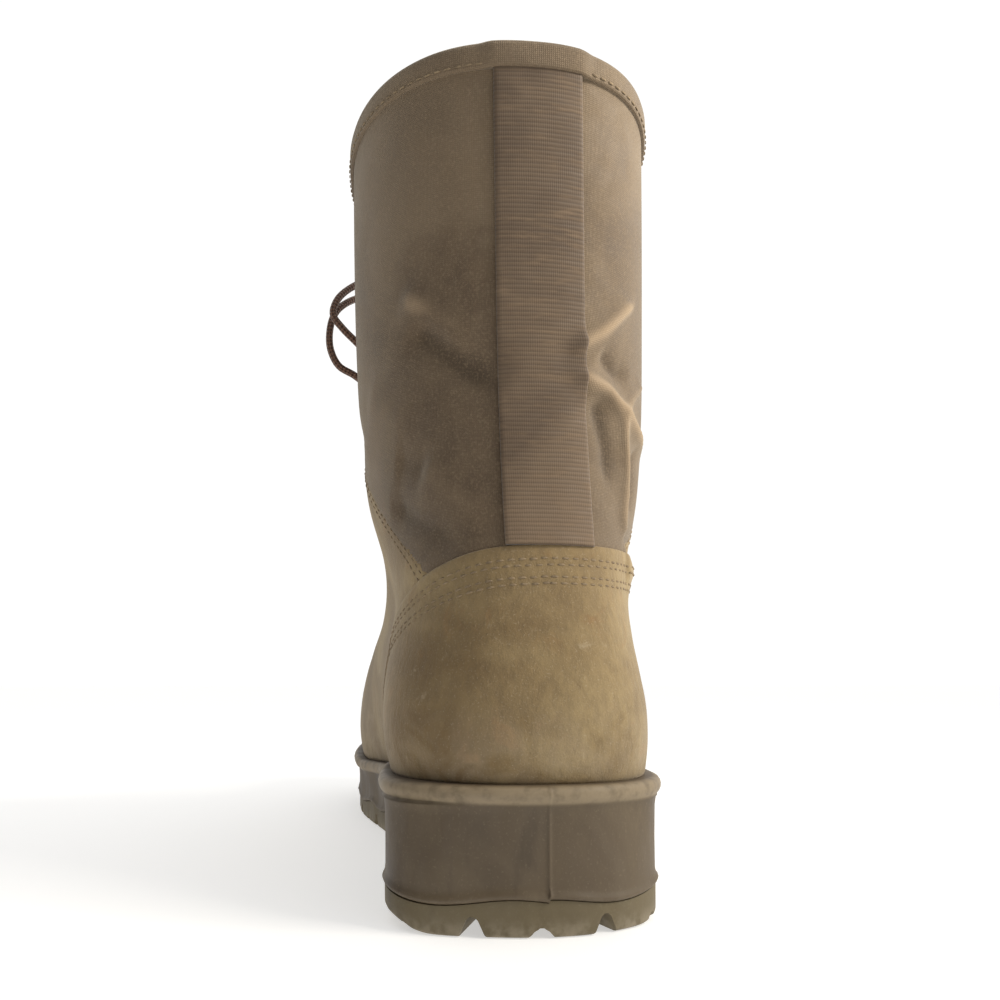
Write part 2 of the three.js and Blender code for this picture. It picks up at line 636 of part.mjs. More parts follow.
add("outsole", makeOutsole(), materials.outsole);
add("midsole", makeMidsole(), materials.midsole);
add("insole", makeInsole(), materials.insole);
add("upper", makeUpper(), materials.fabric);
add("heel_counter", makeCounter(), materials.suede);
add("backstay_webbing", makeWebbing(), materials.webbing);
add("tongue", makeTongue(), materials.fabric);
SEATS.forEach((seat) => add(`eyelet_${seat.sideName}_${seat.pair + 1}`, makeEyelet(seat), materials.metal));
add("lace_crossings", makeCrossings(), materials.lace);
add("lace_knot", makeKnot(), materials.lace);
Object.keys(LOOSE_LACE).forEach((name) => {
  add(name, cord(loosePoints(name), 8, 2.9 * LACE_DIAMETER), materials.lace);
});
["inner", "outer"].forEach((side) => add(`lace_tip_${side}`, makeTip(`lace_end_${side}`), materials.lace));

export default boot;
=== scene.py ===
import logging
import math
from dataclasses import dataclass
from enum import Enum
from typing import Callable, ClassVar, Sequence

import bpy
import numpy as np
from mathutils import Matrix, Vector


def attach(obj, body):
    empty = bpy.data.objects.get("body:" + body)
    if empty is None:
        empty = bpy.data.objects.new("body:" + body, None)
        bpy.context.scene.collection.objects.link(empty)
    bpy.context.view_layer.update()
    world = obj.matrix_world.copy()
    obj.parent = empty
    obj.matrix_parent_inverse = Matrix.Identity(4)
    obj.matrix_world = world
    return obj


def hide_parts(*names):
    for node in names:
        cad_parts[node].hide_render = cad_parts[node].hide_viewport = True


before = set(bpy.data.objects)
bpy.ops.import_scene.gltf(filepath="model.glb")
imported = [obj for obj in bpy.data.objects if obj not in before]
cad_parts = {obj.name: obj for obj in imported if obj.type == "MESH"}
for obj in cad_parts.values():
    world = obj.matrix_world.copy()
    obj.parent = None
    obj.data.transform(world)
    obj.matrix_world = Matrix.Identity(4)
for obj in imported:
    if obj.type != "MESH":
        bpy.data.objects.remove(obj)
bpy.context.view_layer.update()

LOG = logging.getLogger("boot")
MM = 0.001
BODY = "root"
# Where the last's own axes lie in the frame: the heel seam is left of the box's middle.
AXES_SHIFT = np.array([-2.763, 0.212, 0.0])
UV_SPAN = 100.0  # millimetres of surface for one unit of the pieces' UV maps

Array = np.ndarray
Colour = tuple[float, float, float]
Place = tuple[float, float, float]


class Side(Enum):
    """The two sides of the boot."""

    OUTER = 1
    INNER = -1


# ------------------------------------------------------------------ numbers


def catmull(a: Array, b: Array, c: Array, d: Array, f: Array) -> Array:
    """Smooth value at the share `f` of the way from b to c, with a before and d after them."""
    return b + 0.5 * f * (c - a + f * (2 * a - 5 * b + 4 * c - d + f * (3 * (b - c) + d - a)))


def spline(values: Array, at: Array) -> Array:
    """Catmull-Rom values at fractional places.

    Args:
        values: one value for each row of a table.
        at: fractional row numbers.

    Returns:
        The value at each place.
    """
    last = len(values) - 1
    i = np.clip(np.floor(at), 0, last - 1).astype(int)
    return catmull(*(values[np.clip(i + k, 0, last)] for k in (-1, 0, 1, 2)), at - i)


def smooth(low: float, high: float, value: Array) -> Array:
    """Smooth step from 0 at `low` to 1 at `high`."""
    t = np.clip((value - low) / (high - low), 0, 1)
    return t * t * (3 - 2 * t)


def unit(vectors: Array) -> Array:
    """Vectors at length one."""
    return vectors / np.maximum(np.linalg.norm(vectors, axis=-1, keepdims=True), 1e-12)


def spread(count: int, length: float, fine: Sequence[float] = (0.2, 0.5, 1.0)) -> Array:
    """Shares from 0 to 1 with extra places close to both ends.

    Args:
        count: how many even places.
        length: the real length that the shares stand for, in millimetres.
        fine: distances from each end of the extra places, in millimetres.

    Returns:
        Rising shares.
    """
    near = np.array([f / length for f in fine if f < length / 3])
    start = near[-1] if len(near) else 0.0
    even = np.linspace(start, 1 - start, count)
    return np.unique(np.concatenate([[0, 1], near, 1 - near, even]).round(7))


def lengths_along(points: Array) -> Array:
    """Length of a line from its start to each of its points."""
    return np.concatenate([[0], np.cumsum(np.linalg.norm(np.diff(points, axis=0), axis=1))])


def resampled(points: Array, pitch: float) -> Array:
    """Points at an even pitch along a line of points."""
    lengths = lengths_along(points)
    count = max(2, int(round(lengths[-1] / pitch)) + 1)
    at = np.linspace(0, lengths[-1], count)
    return np.stack([np.interp(at, lengths, points[:, k]) for k in range(points.shape[1])], -1)


def curve_through(points: Sequence[Sequence[float]], pitch: float) -> Array:
    """A smooth line through a few points, at an even pitch.

    Args:
        points: the line's own points in millimetres.
        pitch: distance between the returned points.

    Returns:
        Points along the line.
    """
    p = np.array(points, float)
    p = np.vstack([2 * p[0] - p[1], p, 2 * p[-1] - p[-2]])
    out = []
    for a, b, c, d in zip(p, p[1:], p[2:], p[3:]):
        gaps = [max(np.linalg.norm(v - u), 1e-6) ** 0.5 for u, v in ((a, b), (b, c), (c, d))]
        knots = np.cumsum([0] + gaps)
        t = np.linspace(knots[1], knots[2], 24, endpoint=False)[:, None]
        k0, k1, k2, k3 = knots
        a1 = (k1 - t) / (k1 - k0) * a + (t - k0) / (k1 - k0) * b
        a2 = (k2 - t) / (k2 - k1) * b + (t - k1) / (k2 - k1) * c
        a3 = (k3 - t) / (k3 - k2) * c + (t - k2) / (k3 - k2) * d
        b1 = (k2 - t) / (k2 - k0) * a1 + (t - k0) / (k2 - k0) * a2
        b2 = (k3 - t) / (k3 - k1) * a2 + (t - k1) / (k3 - k1) * a3
        out.append((k2 - t) / (k2 - k1) * b1 + (t - k1) / (k2 - k1) * b2)
    return resampled(np.vstack(out + [p[-2:-1]]), pitch)


# ------------------------------------------------------------------ the last


@dataclass(frozen=True)
class Fold:
    """A soft crease or bulge of the upper.

    Fields:
        path: its run, as turns from the heel seam in degrees (+ outer side) and heights.
        rise: how far it stands out, or sinks in when negative.
        width: its half width.
        narrowing: its width at the end of the run, as a share of that at the start.
    """

    path: tuple[tuple[float, float], ...]
    rise: float
    width: float
    narrowing: float = 1.0


class Last:
    """The foot's form, as loops round it from the seat to above the collar.

    A place on it is a fractional row of ROWS and a turn from the heel seam, in radians: positive
    by the outer side, pi at the toe. Heights in ROWS are above the seat.
    """

    COLUMNS = ("front_y", "front_z", "back_y", "back_z", "front_x", "back_x", "heel_in", "heel_out",
               "waist_in", "waist_out", "ball_in", "ball_out", "heel_cap", "toe_cap")
    ROWS = (
        (148, 0, -148.3, 0, -9, 0, 38.2, 35.8, 33, 36.5, 45.5, 53, 40, 80),
        (150.5, 13, -150.6, 9, -9, 0, 40.4, 36.6, 36, 38.5, 47, 54.5, 42, 82),
        (148.6, 27, -150.6, 19, -9, 0, 40.8, 36.6, 38.3, 39.5, 46.5, 53.5, 43, 86),
        (137.5, 40.5, -149, 29, -8, 0, 39.6, 35.8, 39, 40, 44.5, 51, 46, 96),
        (113, 50, -146.8, 39, -6, 0, 38.2, 35.2, 38.3, 40, 42, 48.5, 50, 100),
        (84, 60, -144, 51, -4, 0, 37.6, 35.8, 36, 39.5, 38.5, 44.5, 56, 92),
        (50, 72, -141.2, 66, -3, 0, 40.2, 39, 39, 41.6, 38, 42.6, 62, 80),
        (22, 91, -139.4, 86, -2.5, 0, 45, 43.6, 46, 44.4, 41.5, 42.8, 64, 70),
        (-1, 116, -140, 110, -3, -0.4, 48.8, 45.4, 49.4, 45.8, 45.4, 43.2, 64, 66),
        (-12, 146, -143.3, 140, -3.5, -1, 51, 45.2, 51.3, 45.4, 49, 43.8, 64, 64),
        (-17, 178, -147, 174, -4, -1.6, 51.8, 44.6, 52.2, 44.8, 50.8, 43.8, 64, 64),
        (-19, 207, -150.4, 204, -4, -2.2, 52.3, 44, 52.6, 44.2, 51.4, 43.4, 65, 65),
        (-20, 222, -152.4, 218, -4, -2.6, 52.4, 43.8, 52.7, 44, 51.5, 43.2, 66, 66),
    )
    # Shares of the length at which the heel, waist and ball widths are reached.
    PLACES = np.array([-0.1, 0.15, 0.42, 0.68, 1.1])
    HEEL_SQUARENESS = 2.35
    TOE_SQUARENESS = 2.25
    SEAT_FADE = 110.0
    SEAT_AT_HEEL = 38.5
    # Side view of the sole: length, tread, joint between outsole and midsole, seat.
    PROFILE = np.array([
        (-160, 0, 9.6, 38.8), (-110, 0, 9.6, 38.5), (-72, 0, 9.6, 37.2), (-66, 9.5, 14.6, 36.7),
        (-40, 11.5, 16.4, 33.6), (-16, 8, 14.2, 30.8), (-8, 0, 10, 29.9), (40, 0, 9.2, 27),
        (82, 0, 9.2, 27.6), (108, 2.4, 11.4, 29.6), (132, 6.8, 15.4, 32.6), (160, 13.4, 21.6, 37.4),
    ])

    def __init__(self, folds: Sequence[Fold]) -> None:
        """Keeps the table as columns and lays the folds on the surface."""
        table = np.array(self.ROWS, float)
        self.columns = {name: table[:, k] for k, name in enumerate(self.COLUMNS)}
        self.creases = [(self._laid(fold), fold) for fold in folds]

    def height(self, column: str, y: Array) -> Array:
        """Height of the tread, the joint or the seat at a length along the foot."""
        k = {"tread": 1, "joint": 2, "seat": 3}[column]
        return np.interp(y, self.PROFILE[:, 0], self.PROFILE[:, k])

    def _half_width(self, share: Array, heel: Array, waist: Array, ball: Array) -> Array:
        """Half width at a share of the length, through heel, waist and ball."""
        i = np.clip(np.searchsorted(self.PLACES, share, side="left") - 1, 0, 3)
        f = (share - self.PLACES[i]) / (self.PLACES[i + 1] - self.PLACES[i])
        rows = np.stack([heel, heel, waist, ball, ball])
        near = (np.take_along_axis(rows, np.clip(i + k, 0, 4)[None], 0)[0] for k in (-1, 0, 1, 2))
        return catmull(*near, f)

    @staticmethod
    def _rounded(distance: Array, cap: Array, squareness: float) -> Array:
        """Rounds an end: 0 at the tip, 1 from one cap length on."""
        inside = np.clip(1 - distance / cap, 0, 1)
        return (1 - inside**squareness) ** (1 / squareness)

    def point(self, row: Array, turn: Array) -> Array:
        """Points of the smooth last, in millimetres from its own axes."""
        row, turn = np.broadcast_arrays(np.asarray(row, float), np.asarray(turn, float))
        at = {name: spline(values, row) for name, values in self.columns.items()}
        share = (1 - np.cos(turn)) / 2
        y = at["back_y"] + (at["front_y"] - at["back_y"]) * share
        rise = at["back_z"] + (at["front_z"] - at["back_z"]) * share
        middle = at["back_x"] + (at["front_x"] - at["back_x"]) * share
        ends = self._rounded(y - at["back_y"], at["heel_cap"], self.HEEL_SQUARENESS)
        ends = ends * self._rounded(at["front_y"] - y, at["toe_cap"], self.TOE_SQUARENESS)
        outer = self._half_width(share, at["heel_out"], at["waist_out"], at["ball_out"]) - middle
        inner = -self._half_width(share, at["heel_in"], at["waist_in"], at["ball_in"]) - middle
        width = np.where(np.sin(turn) >= 0, outer, inner)
        fade = smooth(0, self.SEAT_FADE, rise)
        seat = self.height("seat", y) * (1 - fade) + self.SEAT_AT_HEEL * fade
        return np.stack([middle + width * ends, y, seat + rise], -1)

    def normal(self, row: Array, turn: Array) -> Array:
        """Outward directions of the smooth last."""
        row_step, turn_step = 0.05, 0.03
        up = self.point(row + row_step, turn) - self.point(row - row_step, turn)
        along = self.point(row, turn + turn_step) - self.point(row, turn - turn_step)
        return unit(np.cross(along, up))

    def row_at(self, turn: float, height: float) -> float:
        """The row that has a height at one turn."""
        rows = np.linspace(0, 12, 241)
        return float(np.interp(height, self.point(rows, np.full(241, turn))[:, 2], rows))

    def _laid(self, fold: Fold) -> Array:
        """A fold's path as close points on the last."""
        places = [(self.row_at(math.radians(turn), height), math.radians(turn))
                  for turn, height in fold.path]
        return curve_through([self.point(*place) for place in places], 0.6)

    def relief(self, points: Array) -> Array:
        """How far the folds lift each point of the smooth last."""
        flat = points.reshape(-1, 3)
        total = np.zeros(len(flat))
        for line, fold in self.creases:
            low, high = line.min(0) - 3 * fold.width, line.max(0) + 3 * fold.width
            near = np.flatnonzero(((flat > low) & (flat < high)).all(1))
            if not len(near):
                continue
            gaps = np.linalg.norm(flat[near][:, None] - line[None], axis=2)
            closest = gaps.argmin(1)
            share = closest / (len(line) - 1)
            taper = smooth(0, 0.2, share) * smooth(0, 0.35, 1 - share)
            away = gaps.min(1) / (fold.width * (1 + (fold.narrowing - 1) * share))
            crest = 0.62 * np.exp(-0.5 * away**2) + 0.38 * np.exp(-((away / 0.6) ** 2))
            total[near] += fold.rise * taper * crest
        return total.reshape(points.shape[:-1])

    def surface(self, row: Array, turn: Array, lift: Array | float) -> Array:
        """Points over the folded surface at a height above it, in the frame's millimetres."""
        base = self.point(row, turn)
        out = self.normal(row, turn)
        lifted = self.relief(base) + lift
        return base + out * lifted[..., None] + AXES_SHIFT

    def moved(self, row: Array, turn: Array, step: Array) -> tuple[Array, Array]:
        """The place that lies a small step in space from each place, on the surface."""
        d = 0.02
        by_row = (self.point(row + d, turn) - self.point(row - d, turn)) / (2 * d)
        by_turn = (self.point(row, turn + d) - self.point(row, turn - d)) / (2 * d)
        a, b, c = (by_row**2).sum(-1), (by_row * by_turn).sum(-1), (by_turn**2).sum(-1)
        u, v = (by_row * step).sum(-1), (by_turn * step).sum(-1)
        det = np.maximum(a * c - b * b, 1e-9)
        return row + (c * u - b * v) / det, turn + (a * v - b * u) / det

    def beside(self, row: Array, turn: Array, distance: float) -> tuple[Array, Array]:
        """A path on the surface beside another one; a positive distance lies on its left."""
        steps = max(1, int(abs(distance) / 2))
        for _ in range(steps):
            along = unit(np.gradient(self.point(row, turn), axis=0))
            left = np.cross(self.normal(row, turn), along)
            row, turn = self.moved(row, turn, left * distance / steps)
        return row, turn


# ------------------------------------------------------------------ meshes


def in_scene(name: str, data: bpy.types.ID) -> bpy.types.Object:
    """A new object of the scene for a mesh, light or camera."""
    made = bpy.data.objects.new(name, data)
    bpy.context.scene.collection.objects.link(made)
    return made


def discard(*objects: bpy.types.Object) -> None:
    """Removes mesh objects and their meshes."""
    for spent in objects:
        mesh = spent.data
        bpy.data.objects.remove(spent)
        bpy.data.meshes.remove(mesh)


def finished_mesh(piece: bpy.types.Object, name: str) -> bpy.types.Mesh:
    """The piece's mesh with its modifiers applied; they are then taken off."""
    bpy.context.view_layer.update()
    graph = bpy.context.evaluated_depsgraph_get()
    mesh = bpy.data.meshes.new_from_object(piece.evaluated_get(graph))
    mesh.name = name
    piece.modifiers.clear()
    return mesh


def all_smooth(mesh: bpy.types.Mesh) -> None:
    """Shades every face smooth."""
    mesh.polygons.foreach_set("use_smooth", np.ones(len(mesh.polygons), dtype=bool))


def keep_relief(piece: bpy.types.Object, values: Array) -> None:
    """Stores a value for each corner, which the finishes read as "relief": the folds' height, from which the
    fabrics and suede paint highlights and shade, or the share of the midsole lip's painted highlight.
    """
    layer = piece.data.attributes.new("relief", "FLOAT", "POINT")
    layer.data.foreach_set("value", np.asarray(values, dtype=np.float32))


def new_object(name: str, points: Array, faces: Sequence[Sequence[int]], uv: Array | None = None,
               slots: Sequence[bpy.types.Material] = (),
               face_slots: Sequence[int] | None = None) -> bpy.types.Object:
    """A smooth-shaded mesh object in the scene.

    Args:
        name: the piece's name.
        points: corners in millimetres.
        faces: corner numbers of each face, counter-clockwise from outside.
        uv: one UV pair for each corner.
        slots: materials.
        face_slots: material number of each face.

    Returns:
        The object.
    """
    mesh = bpy.data.meshes.new(name)
    mesh.from_pydata((np.asarray(points) * MM).tolist(), [], [list(f) for f in faces])
    for material in slots:
        mesh.materials.append(material)
    if face_slots is not None:
        mesh.polygons.foreach_set("material_index", np.asarray(face_slots, dtype=np.int32))
    all_smooth(mesh)
    if uv is not None:
        layer = mesh.uv_layers.new(name="UVMap")
        index = np.empty(len(mesh.loops), dtype=np.int32)
        mesh.loops.foreach_get("vertex_index", index)
        layer.data.foreach_set("uv", np.asarray(uv, dtype=np.float32)[index].ravel())
    mesh.validate()
    mesh.update()
    return in_scene(name, mesh)


def grid_faces(rows: int, columns: int, start: int = 0, wrap: bool = False,
               flip: bool = False) -> list[tuple[int, ...]]:
    """Quads of a grid of corners numbered row by row.

    Args:
        rows: corners up.
        columns: corners across.
        start: number of the first corner.
        wrap: joins the last column to the first.
        flip: turns the faces round.

    Returns:
        The quads.
    """
    faces = []
    for i in range(rows - 1):
        for j in range(columns if wrap else columns - 1):
            k = (j + 1) % columns
            quad = (start + i * columns + j, start + i * columns + k,
                    start + (i + 1) * columns + k, start + (i + 1) * columns + j)
            faces.append(quad[::-1] if flip else quad)
    return faces


def grid_uv(points: Array) -> Array:
    """UV pairs that follow a grid of points at real scale, from its middle lines."""
    across = np.linalg.norm(np.diff(points, axis=1), axis=2).mean(0)
    up = np.linalg.norm(np.diff(points, axis=0), axis=2).mean(1)
    u = np.concatenate([[0], np.cumsum(across)]) / UV_SPAN
    v = np.concatenate([[0], np.cumsum(up)]) / UV_SPAN
    return np.stack(np.meshgrid(u, v), -1)


def closed_sheet(name: str, outside: Array, inside: Array, slots: Sequence[bpy.types.Material],
                 relief: Array | None = None) -> bpy.types.Object:
    """A closed shell from two grids of equal size, joined round their rims.

    Args:
        name: the piece's name.
        outside: grid of outer points.
        inside: grid of inner points behind them.
        slots: material of the outside and rim, and optionally one of the inside.
        relief: height of the folds at each outer point, kept for the finish as "relief".

    Returns:
        The object.
    """
    rows, columns = outside.shape[:2]
    count = rows * columns
    faces = grid_faces(rows, columns)
    face_slots = [0] * len(faces)
    back = grid_faces(rows, columns, count, flip=True)
    faces += back
    face_slots += [len(slots) - 1] * len(back)
    rim = (list(range(columns)) + [i * columns + columns - 1 for i in range(1, rows)]
           + [(rows - 1) * columns + j for j in range(columns - 2, -1, -1)]
           + [i * columns for i in range(rows - 2, 0, -1)])
    for a, b in zip(rim, rim[1:] + rim[:1]):
        faces.append((b, a, a + count, b + count))
        face_slots.append(0)
    uv = grid_uv(outside).reshape(-1, 2)
    points = np.concatenate([outside.reshape(-1, 3), inside.reshape(-1, 3)])
    made = new_object(name, points, faces, np.concatenate([uv, uv]), slots, face_slots)
    if relief is not None:
        keep_relief(made, np.concatenate([relief.ravel(), np.zeros(count)]))
    return made


def tube(name: str, path: Array, radius: float | Array, sides: int,
         material: bpy.types.Material) -> bpy.types.Object:
    """A round cord along points, its ends rounded and closed.

    Args:
        name: the piece's name.
        path: centre line in millimetres.
        radius: one radius, or one for each point.
        sides: corners round it.
        material: its finish.

    Returns:
        The object.
    """
    path = np.asarray(path, float)
    radii = np.broadcast_to(np.asarray(radius, float), (len(path),)).copy()
    along = unit(np.gradient(path, axis=0))
    normals = [unit(np.cross(along[0], [0.3, 0.2, 1.0]))]
    for t in along[1:]:
        normals.append(unit(normals[-1] - t * (normals[-1] @ t)))
    first = np.array(normals)
    second = np.cross(along, first)
    angles = np.linspace(0, 2 * np.pi, sides, endpoint=False)
    rings = path[:, None] + radii[:, None, None] * (
        np.cos(angles)[None, :, None] * first[:, None] + np.sin(angles)[None, :, None] * second[:, None])
    points = rings.reshape(-1, 3)
    faces = grid_faces(len(path), sides, wrap=True)
    tips = np.array([path[0] - along[0] * radii[0] * 0.35, path[-1] + along[-1] * radii[-1] * 0.35])
    low, high = len(points), len(points) + 1
    faces += [(low, (j + 1) % sides, j) for j in range(sides)]
    top = (len(path) - 1) * sides
    faces += [(high, top + j, top + (j + 1) % sides) for j in range(sides)]
    lengths = lengths_along(path) / UV_SPAN
    uv = np.stack(np.meshgrid(np.arange(sides) / sides, lengths), -1).reshape(-1, 2)
    uv = np.concatenate([uv, [[0.5, lengths[0]], [0.5, lengths[-1]]]])
    return new_object(name, np.concatenate([points, tips]), faces, uv, [material])


class Repeater:
    """Geometry Nodes that set one shape at every point, square to the surface there."""

    SEED = 7

    def __init__(self) -> None:
        """Builds the tree with its named inputs."""
        tree = bpy.data.node_groups.new("repeat_on_points", "GeometryNodeTree")
        for name, kind in (("Points", "Geometry"), ("Shape", "Object"), ("Finish", "Material"),
                           ("Size Variation", "Float"), ("Seed", "Int")):
            tree.interface.new_socket(name, in_out="INPUT", socket_type="NodeSocket" + kind)
        tree.interface.new_socket("Geometry", in_out="OUTPUT", socket_type="NodeSocketGeometry")
        add = tree.nodes.new
        source, result = add("NodeGroupInput"), add("NodeGroupOutput")
        along, out = add("GeometryNodeInputNamedAttribute"), add("GeometryNodeInputNamedAttribute")
        for node, name in ((along, "along"), (out, "out")):
            node.data_type = "FLOAT_VECTOR"
            node.inputs["Name"].default_value = name
        aim, roll = add("FunctionNodeAlignRotationToVector"), add("FunctionNodeAlignRotationToVector")
        aim.axis, roll.axis, roll.pivot_axis = "X", "Z", "X"
        shape, place = add("GeometryNodeObjectInfo"), add("GeometryNodeInstanceOnPoints")
        vary, low, high = add("FunctionNodeRandomValue"), add("ShaderNodeMath"), add("ShaderNodeMath")
        low.operation, high.operation = "SUBTRACT", "ADD"
        low.inputs[0].default_value = high.inputs[0].default_value = 1.0
        real, dress = add("GeometryNodeRealizeInstances"), add("GeometryNodeSetMaterial")
        for start, output, end, entry in (
                (source, "Shape", shape, "Object"), (source, "Points", place, "Points"),
                (shape, "Geometry", place, "Instance"), (along, "Attribute", aim, "Vector"),
                (aim, "Rotation", roll, "Rotation"), (out, "Attribute", roll, "Vector"),
                (roll, "Rotation", place, "Rotation"), (source, "Size Variation", low, 1),
                (source, "Size Variation", high, 1), (low, 0, vary, 2), (high, 0, vary, 3),
                (source, "Seed", vary, "Seed"), (vary, 1, place, "Scale"),
                (place, "Instances", real, "Geometry"), (real, "Geometry", dress, "Geometry"),
                (source, "Finish", dress, "Material"), (dress, "Geometry", result, "Geometry")):
            tree.links.new(start.outputs[output], end.inputs[entry])
        self.tree = tree
        self.sockets = {item.name: item.identifier for item in tree.interface.items_tree
                        if item.in_out == "INPUT"}

    def repeat(self, name: str, shape: bpy.types.Object, places: Array, along: Array, out: Array,
               finish: bpy.types.Material, variation: float = 0.0) -> bpy.types.Object:
        """Sets the shape at each place and returns one plain mesh object.

        Args:
            name: name of the piece.
            shape: the object to repeat; it is removed.
            places: points in millimetres.
            along: direction of the shape's own X at each place.
            out: direction of its Z.
            finish: material.
            variation: share by which sizes differ.

        Returns:
            The piece.
        """
        holder = new_object(name + "_places", places, [])
        for label, vectors in (("along", along), ("out", out)):
            layer = holder.data.attributes.new(label, "FLOAT_VECTOR", "POINT")
            layer.data.foreach_set("vector", np.asarray(vectors, dtype=np.float32).ravel())
        modifier = holder.modifiers.new("repeat", "NODES")
        modifier.node_group = self.tree
        for socket, value in (("Shape", shape), ("Finish", finish), ("Size Variation", variation),
                              ("Seed", self.SEED)):
            modifier[self.sockets[socket]] = value
        mesh = finished_mesh(holder, name)
        discard(holder, shape)
        all_smooth(mesh)
        return in_scene(name, mesh)


# ------------------------------------------------------------------ finishes


def wave_scale(pitch: float) -> float:
    """Scale of a wave texture on metres for bands at a pitch in millimetres."""
    return math.pi / (10 * pitch * MM)


def tinted(colour: Colour, factor: float) -> Colour:
    """A colour made lighter or darker."""
    return tuple(part * factor for part in colour)


class Shader:
    """A short way to build one material's nodes."""

    def __init__(self, name: str) -> None:
        """Starts a material with a principled surface."""
        self.material = bpy.data.materials.new(name)
        self.material.use_nodes = True
        self.nodes = self.material.node_tree.nodes
        self.links = self.material.node_tree.links
        self.surface = self.nodes["Principled BSDF"]
        self.coords = self.nodes.new("ShaderNodeTexCoord")
        self.height: bpy.types.NodeSocket | None = None

    def node(self, kind: str, **settings: object) -> bpy.types.Node:
        """Adds a node and sets its properties."""
        node = self.nodes.new(kind)
        for key, value in settings.items():
            setattr(node, key, value)
        return node

    def feed(self, socket: bpy.types.NodeSocket, value: object) -> None:
        """Links a socket or sets its value."""
        if isinstance(value, bpy.types.NodeSocket):
            self.links.new(value, socket)
        else:
            socket.default_value = value

    def scaled(self, kind: str, scale: Place) -> bpy.types.NodeSocket:
        """Object or UV coordinates stretched by a scale."""
        mapping = self.node("ShaderNodeMapping")
        self.links.new(self.coords.outputs[kind], mapping.inputs["Vector"])
        mapping.inputs["Scale"].default_value = scale
        return mapping.outputs["Vector"]

    def noise(self, per_metre: float, detail: float = 2.0, rough: float = 0.5,
              where: bpy.types.NodeSocket | None = None, warp: float = 0.0) -> bpy.types.NodeSocket:
        """Soft noise of about 0 to 1, `per_metre` blotches to the metre on Object coordinates."""
        node = self.node("ShaderNodeTexNoise")
        for name, entry in (("Vector", where or self.coords.outputs["Object"]), ("Scale", per_metre),
                            ("Detail", detail), ("Roughness", rough), ("Distortion", warp)):
            self.feed(node.inputs[name], entry)
        return node.outputs["Fac"]

    def math(self, operation: str, a: object, b: object = 0.0) -> bpy.types.NodeSocket:
        """One sum of two numbers."""
        node = self.node("ShaderNodeMath", operation=operation)
        self.feed(node.inputs[0], a)
        self.feed(node.inputs[1], b)
        return node.outputs[0]

    def waves(self, direction: str, pitch: float, bend: float, detail_scale: float) -> bpy.types.NodeSocket:
        """Threads at a pitch in millimetres on the piece's own UV map."""
        node = self.node("ShaderNodeTexWave", bands_direction=direction)
        self.feed(node.inputs["Vector"], self.scaled("UV", (UV_SPAN * MM, UV_SPAN * MM, 1)))
        for name, entry in (("Scale", wave_scale(pitch)), ("Distortion", bend), ("Detail", 2.0),
                            ("Detail Scale", detail_scale)):
            self.feed(node.inputs[name], entry)
        return node.outputs["Fac"]

    def fitted(self, value: object, low: float, high: float, to_low: float = 0.0,
               to_high: float = 1.0) -> bpy.types.NodeSocket:
        """Maps a number from one range to another, held at its ends."""
        node = self.node("ShaderNodeMapRange", interpolation_type="SMOOTHSTEP")
        for name, entry in (("Value", value), ("From Min", low), ("From Max", high),
                            ("To Min", to_low), ("To Max", to_high)):
            self.feed(node.inputs[name], entry)
        return node.outputs["Result"]

    def mixed(self, share: object, a: object, b: object, blend: str = "MIX") -> bpy.types.NodeSocket:
        """Mixes two colours."""
        node = self.node("ShaderNodeMix", data_type="RGBA", blend_type=blend)
        self.feed(node.inputs[0], share)
        for socket, value in ((node.inputs[6], a), (node.inputs[7], b)):
            self.feed(socket, (*value, 1.0) if isinstance(value, tuple) else value)
        return node.outputs[2]

    def bump(self, height: object, millimetres: float, strength: float = 1.0) -> None:
        """Adds relief of a depth over what is there."""
        node = self.node("ShaderNodeBump")
        self.feed(node.inputs["Height"], height)
        node.inputs["Strength"].default_value = strength
        node.inputs["Distance"].default_value = millimetres * MM
        if self.height is not None:
            self.links.new(self.height, node.inputs["Normal"])
        self.height = node.outputs["Normal"]

    def relief(self) -> bpy.types.NodeSocket:
        """Height of the folds at each place, in millimetres; on the midsole, the share of the lip's painted
        highlight.
        """
        return self.node("ShaderNodeAttribute", attribute_name="relief").outputs["Fac"]

    def height_above_floor(self) -> bpy.types.NodeSocket:
        """Metres above the floor."""
        split = self.node("ShaderNodeSeparateXYZ")
        self.links.new(self.coords.outputs["Object"], split.inputs[0])
        return split.outputs[2]

    def done(self, colour: object, roughness: object, sheen: float = 0.0, specular: float = 0.5,
             metallic: float = 0.0, sheen_tint: Colour = (1, 1, 1)) -> bpy.types.Material:
        """Connects what was built to the surface and returns the material."""
        self.feed(self.surface.inputs["Base Color"], (*colour, 1.0) if isinstance(colour, tuple) else colour)
        self.feed(self.surface.inputs["Roughness"], roughness)
        settings = {"Sheen Weight": sheen, "Sheen Roughness": 0.45, "Sheen Tint": (*sheen_tint, 1.0),
                    "Specular IOR Level": specular, "Metallic": metallic}
        for name, value in settings.items():
            self.surface.inputs[name].default_value = value
        if self.height is not None:
            self.links.new(self.height, self.surface.inputs["Normal"])
        return self.material


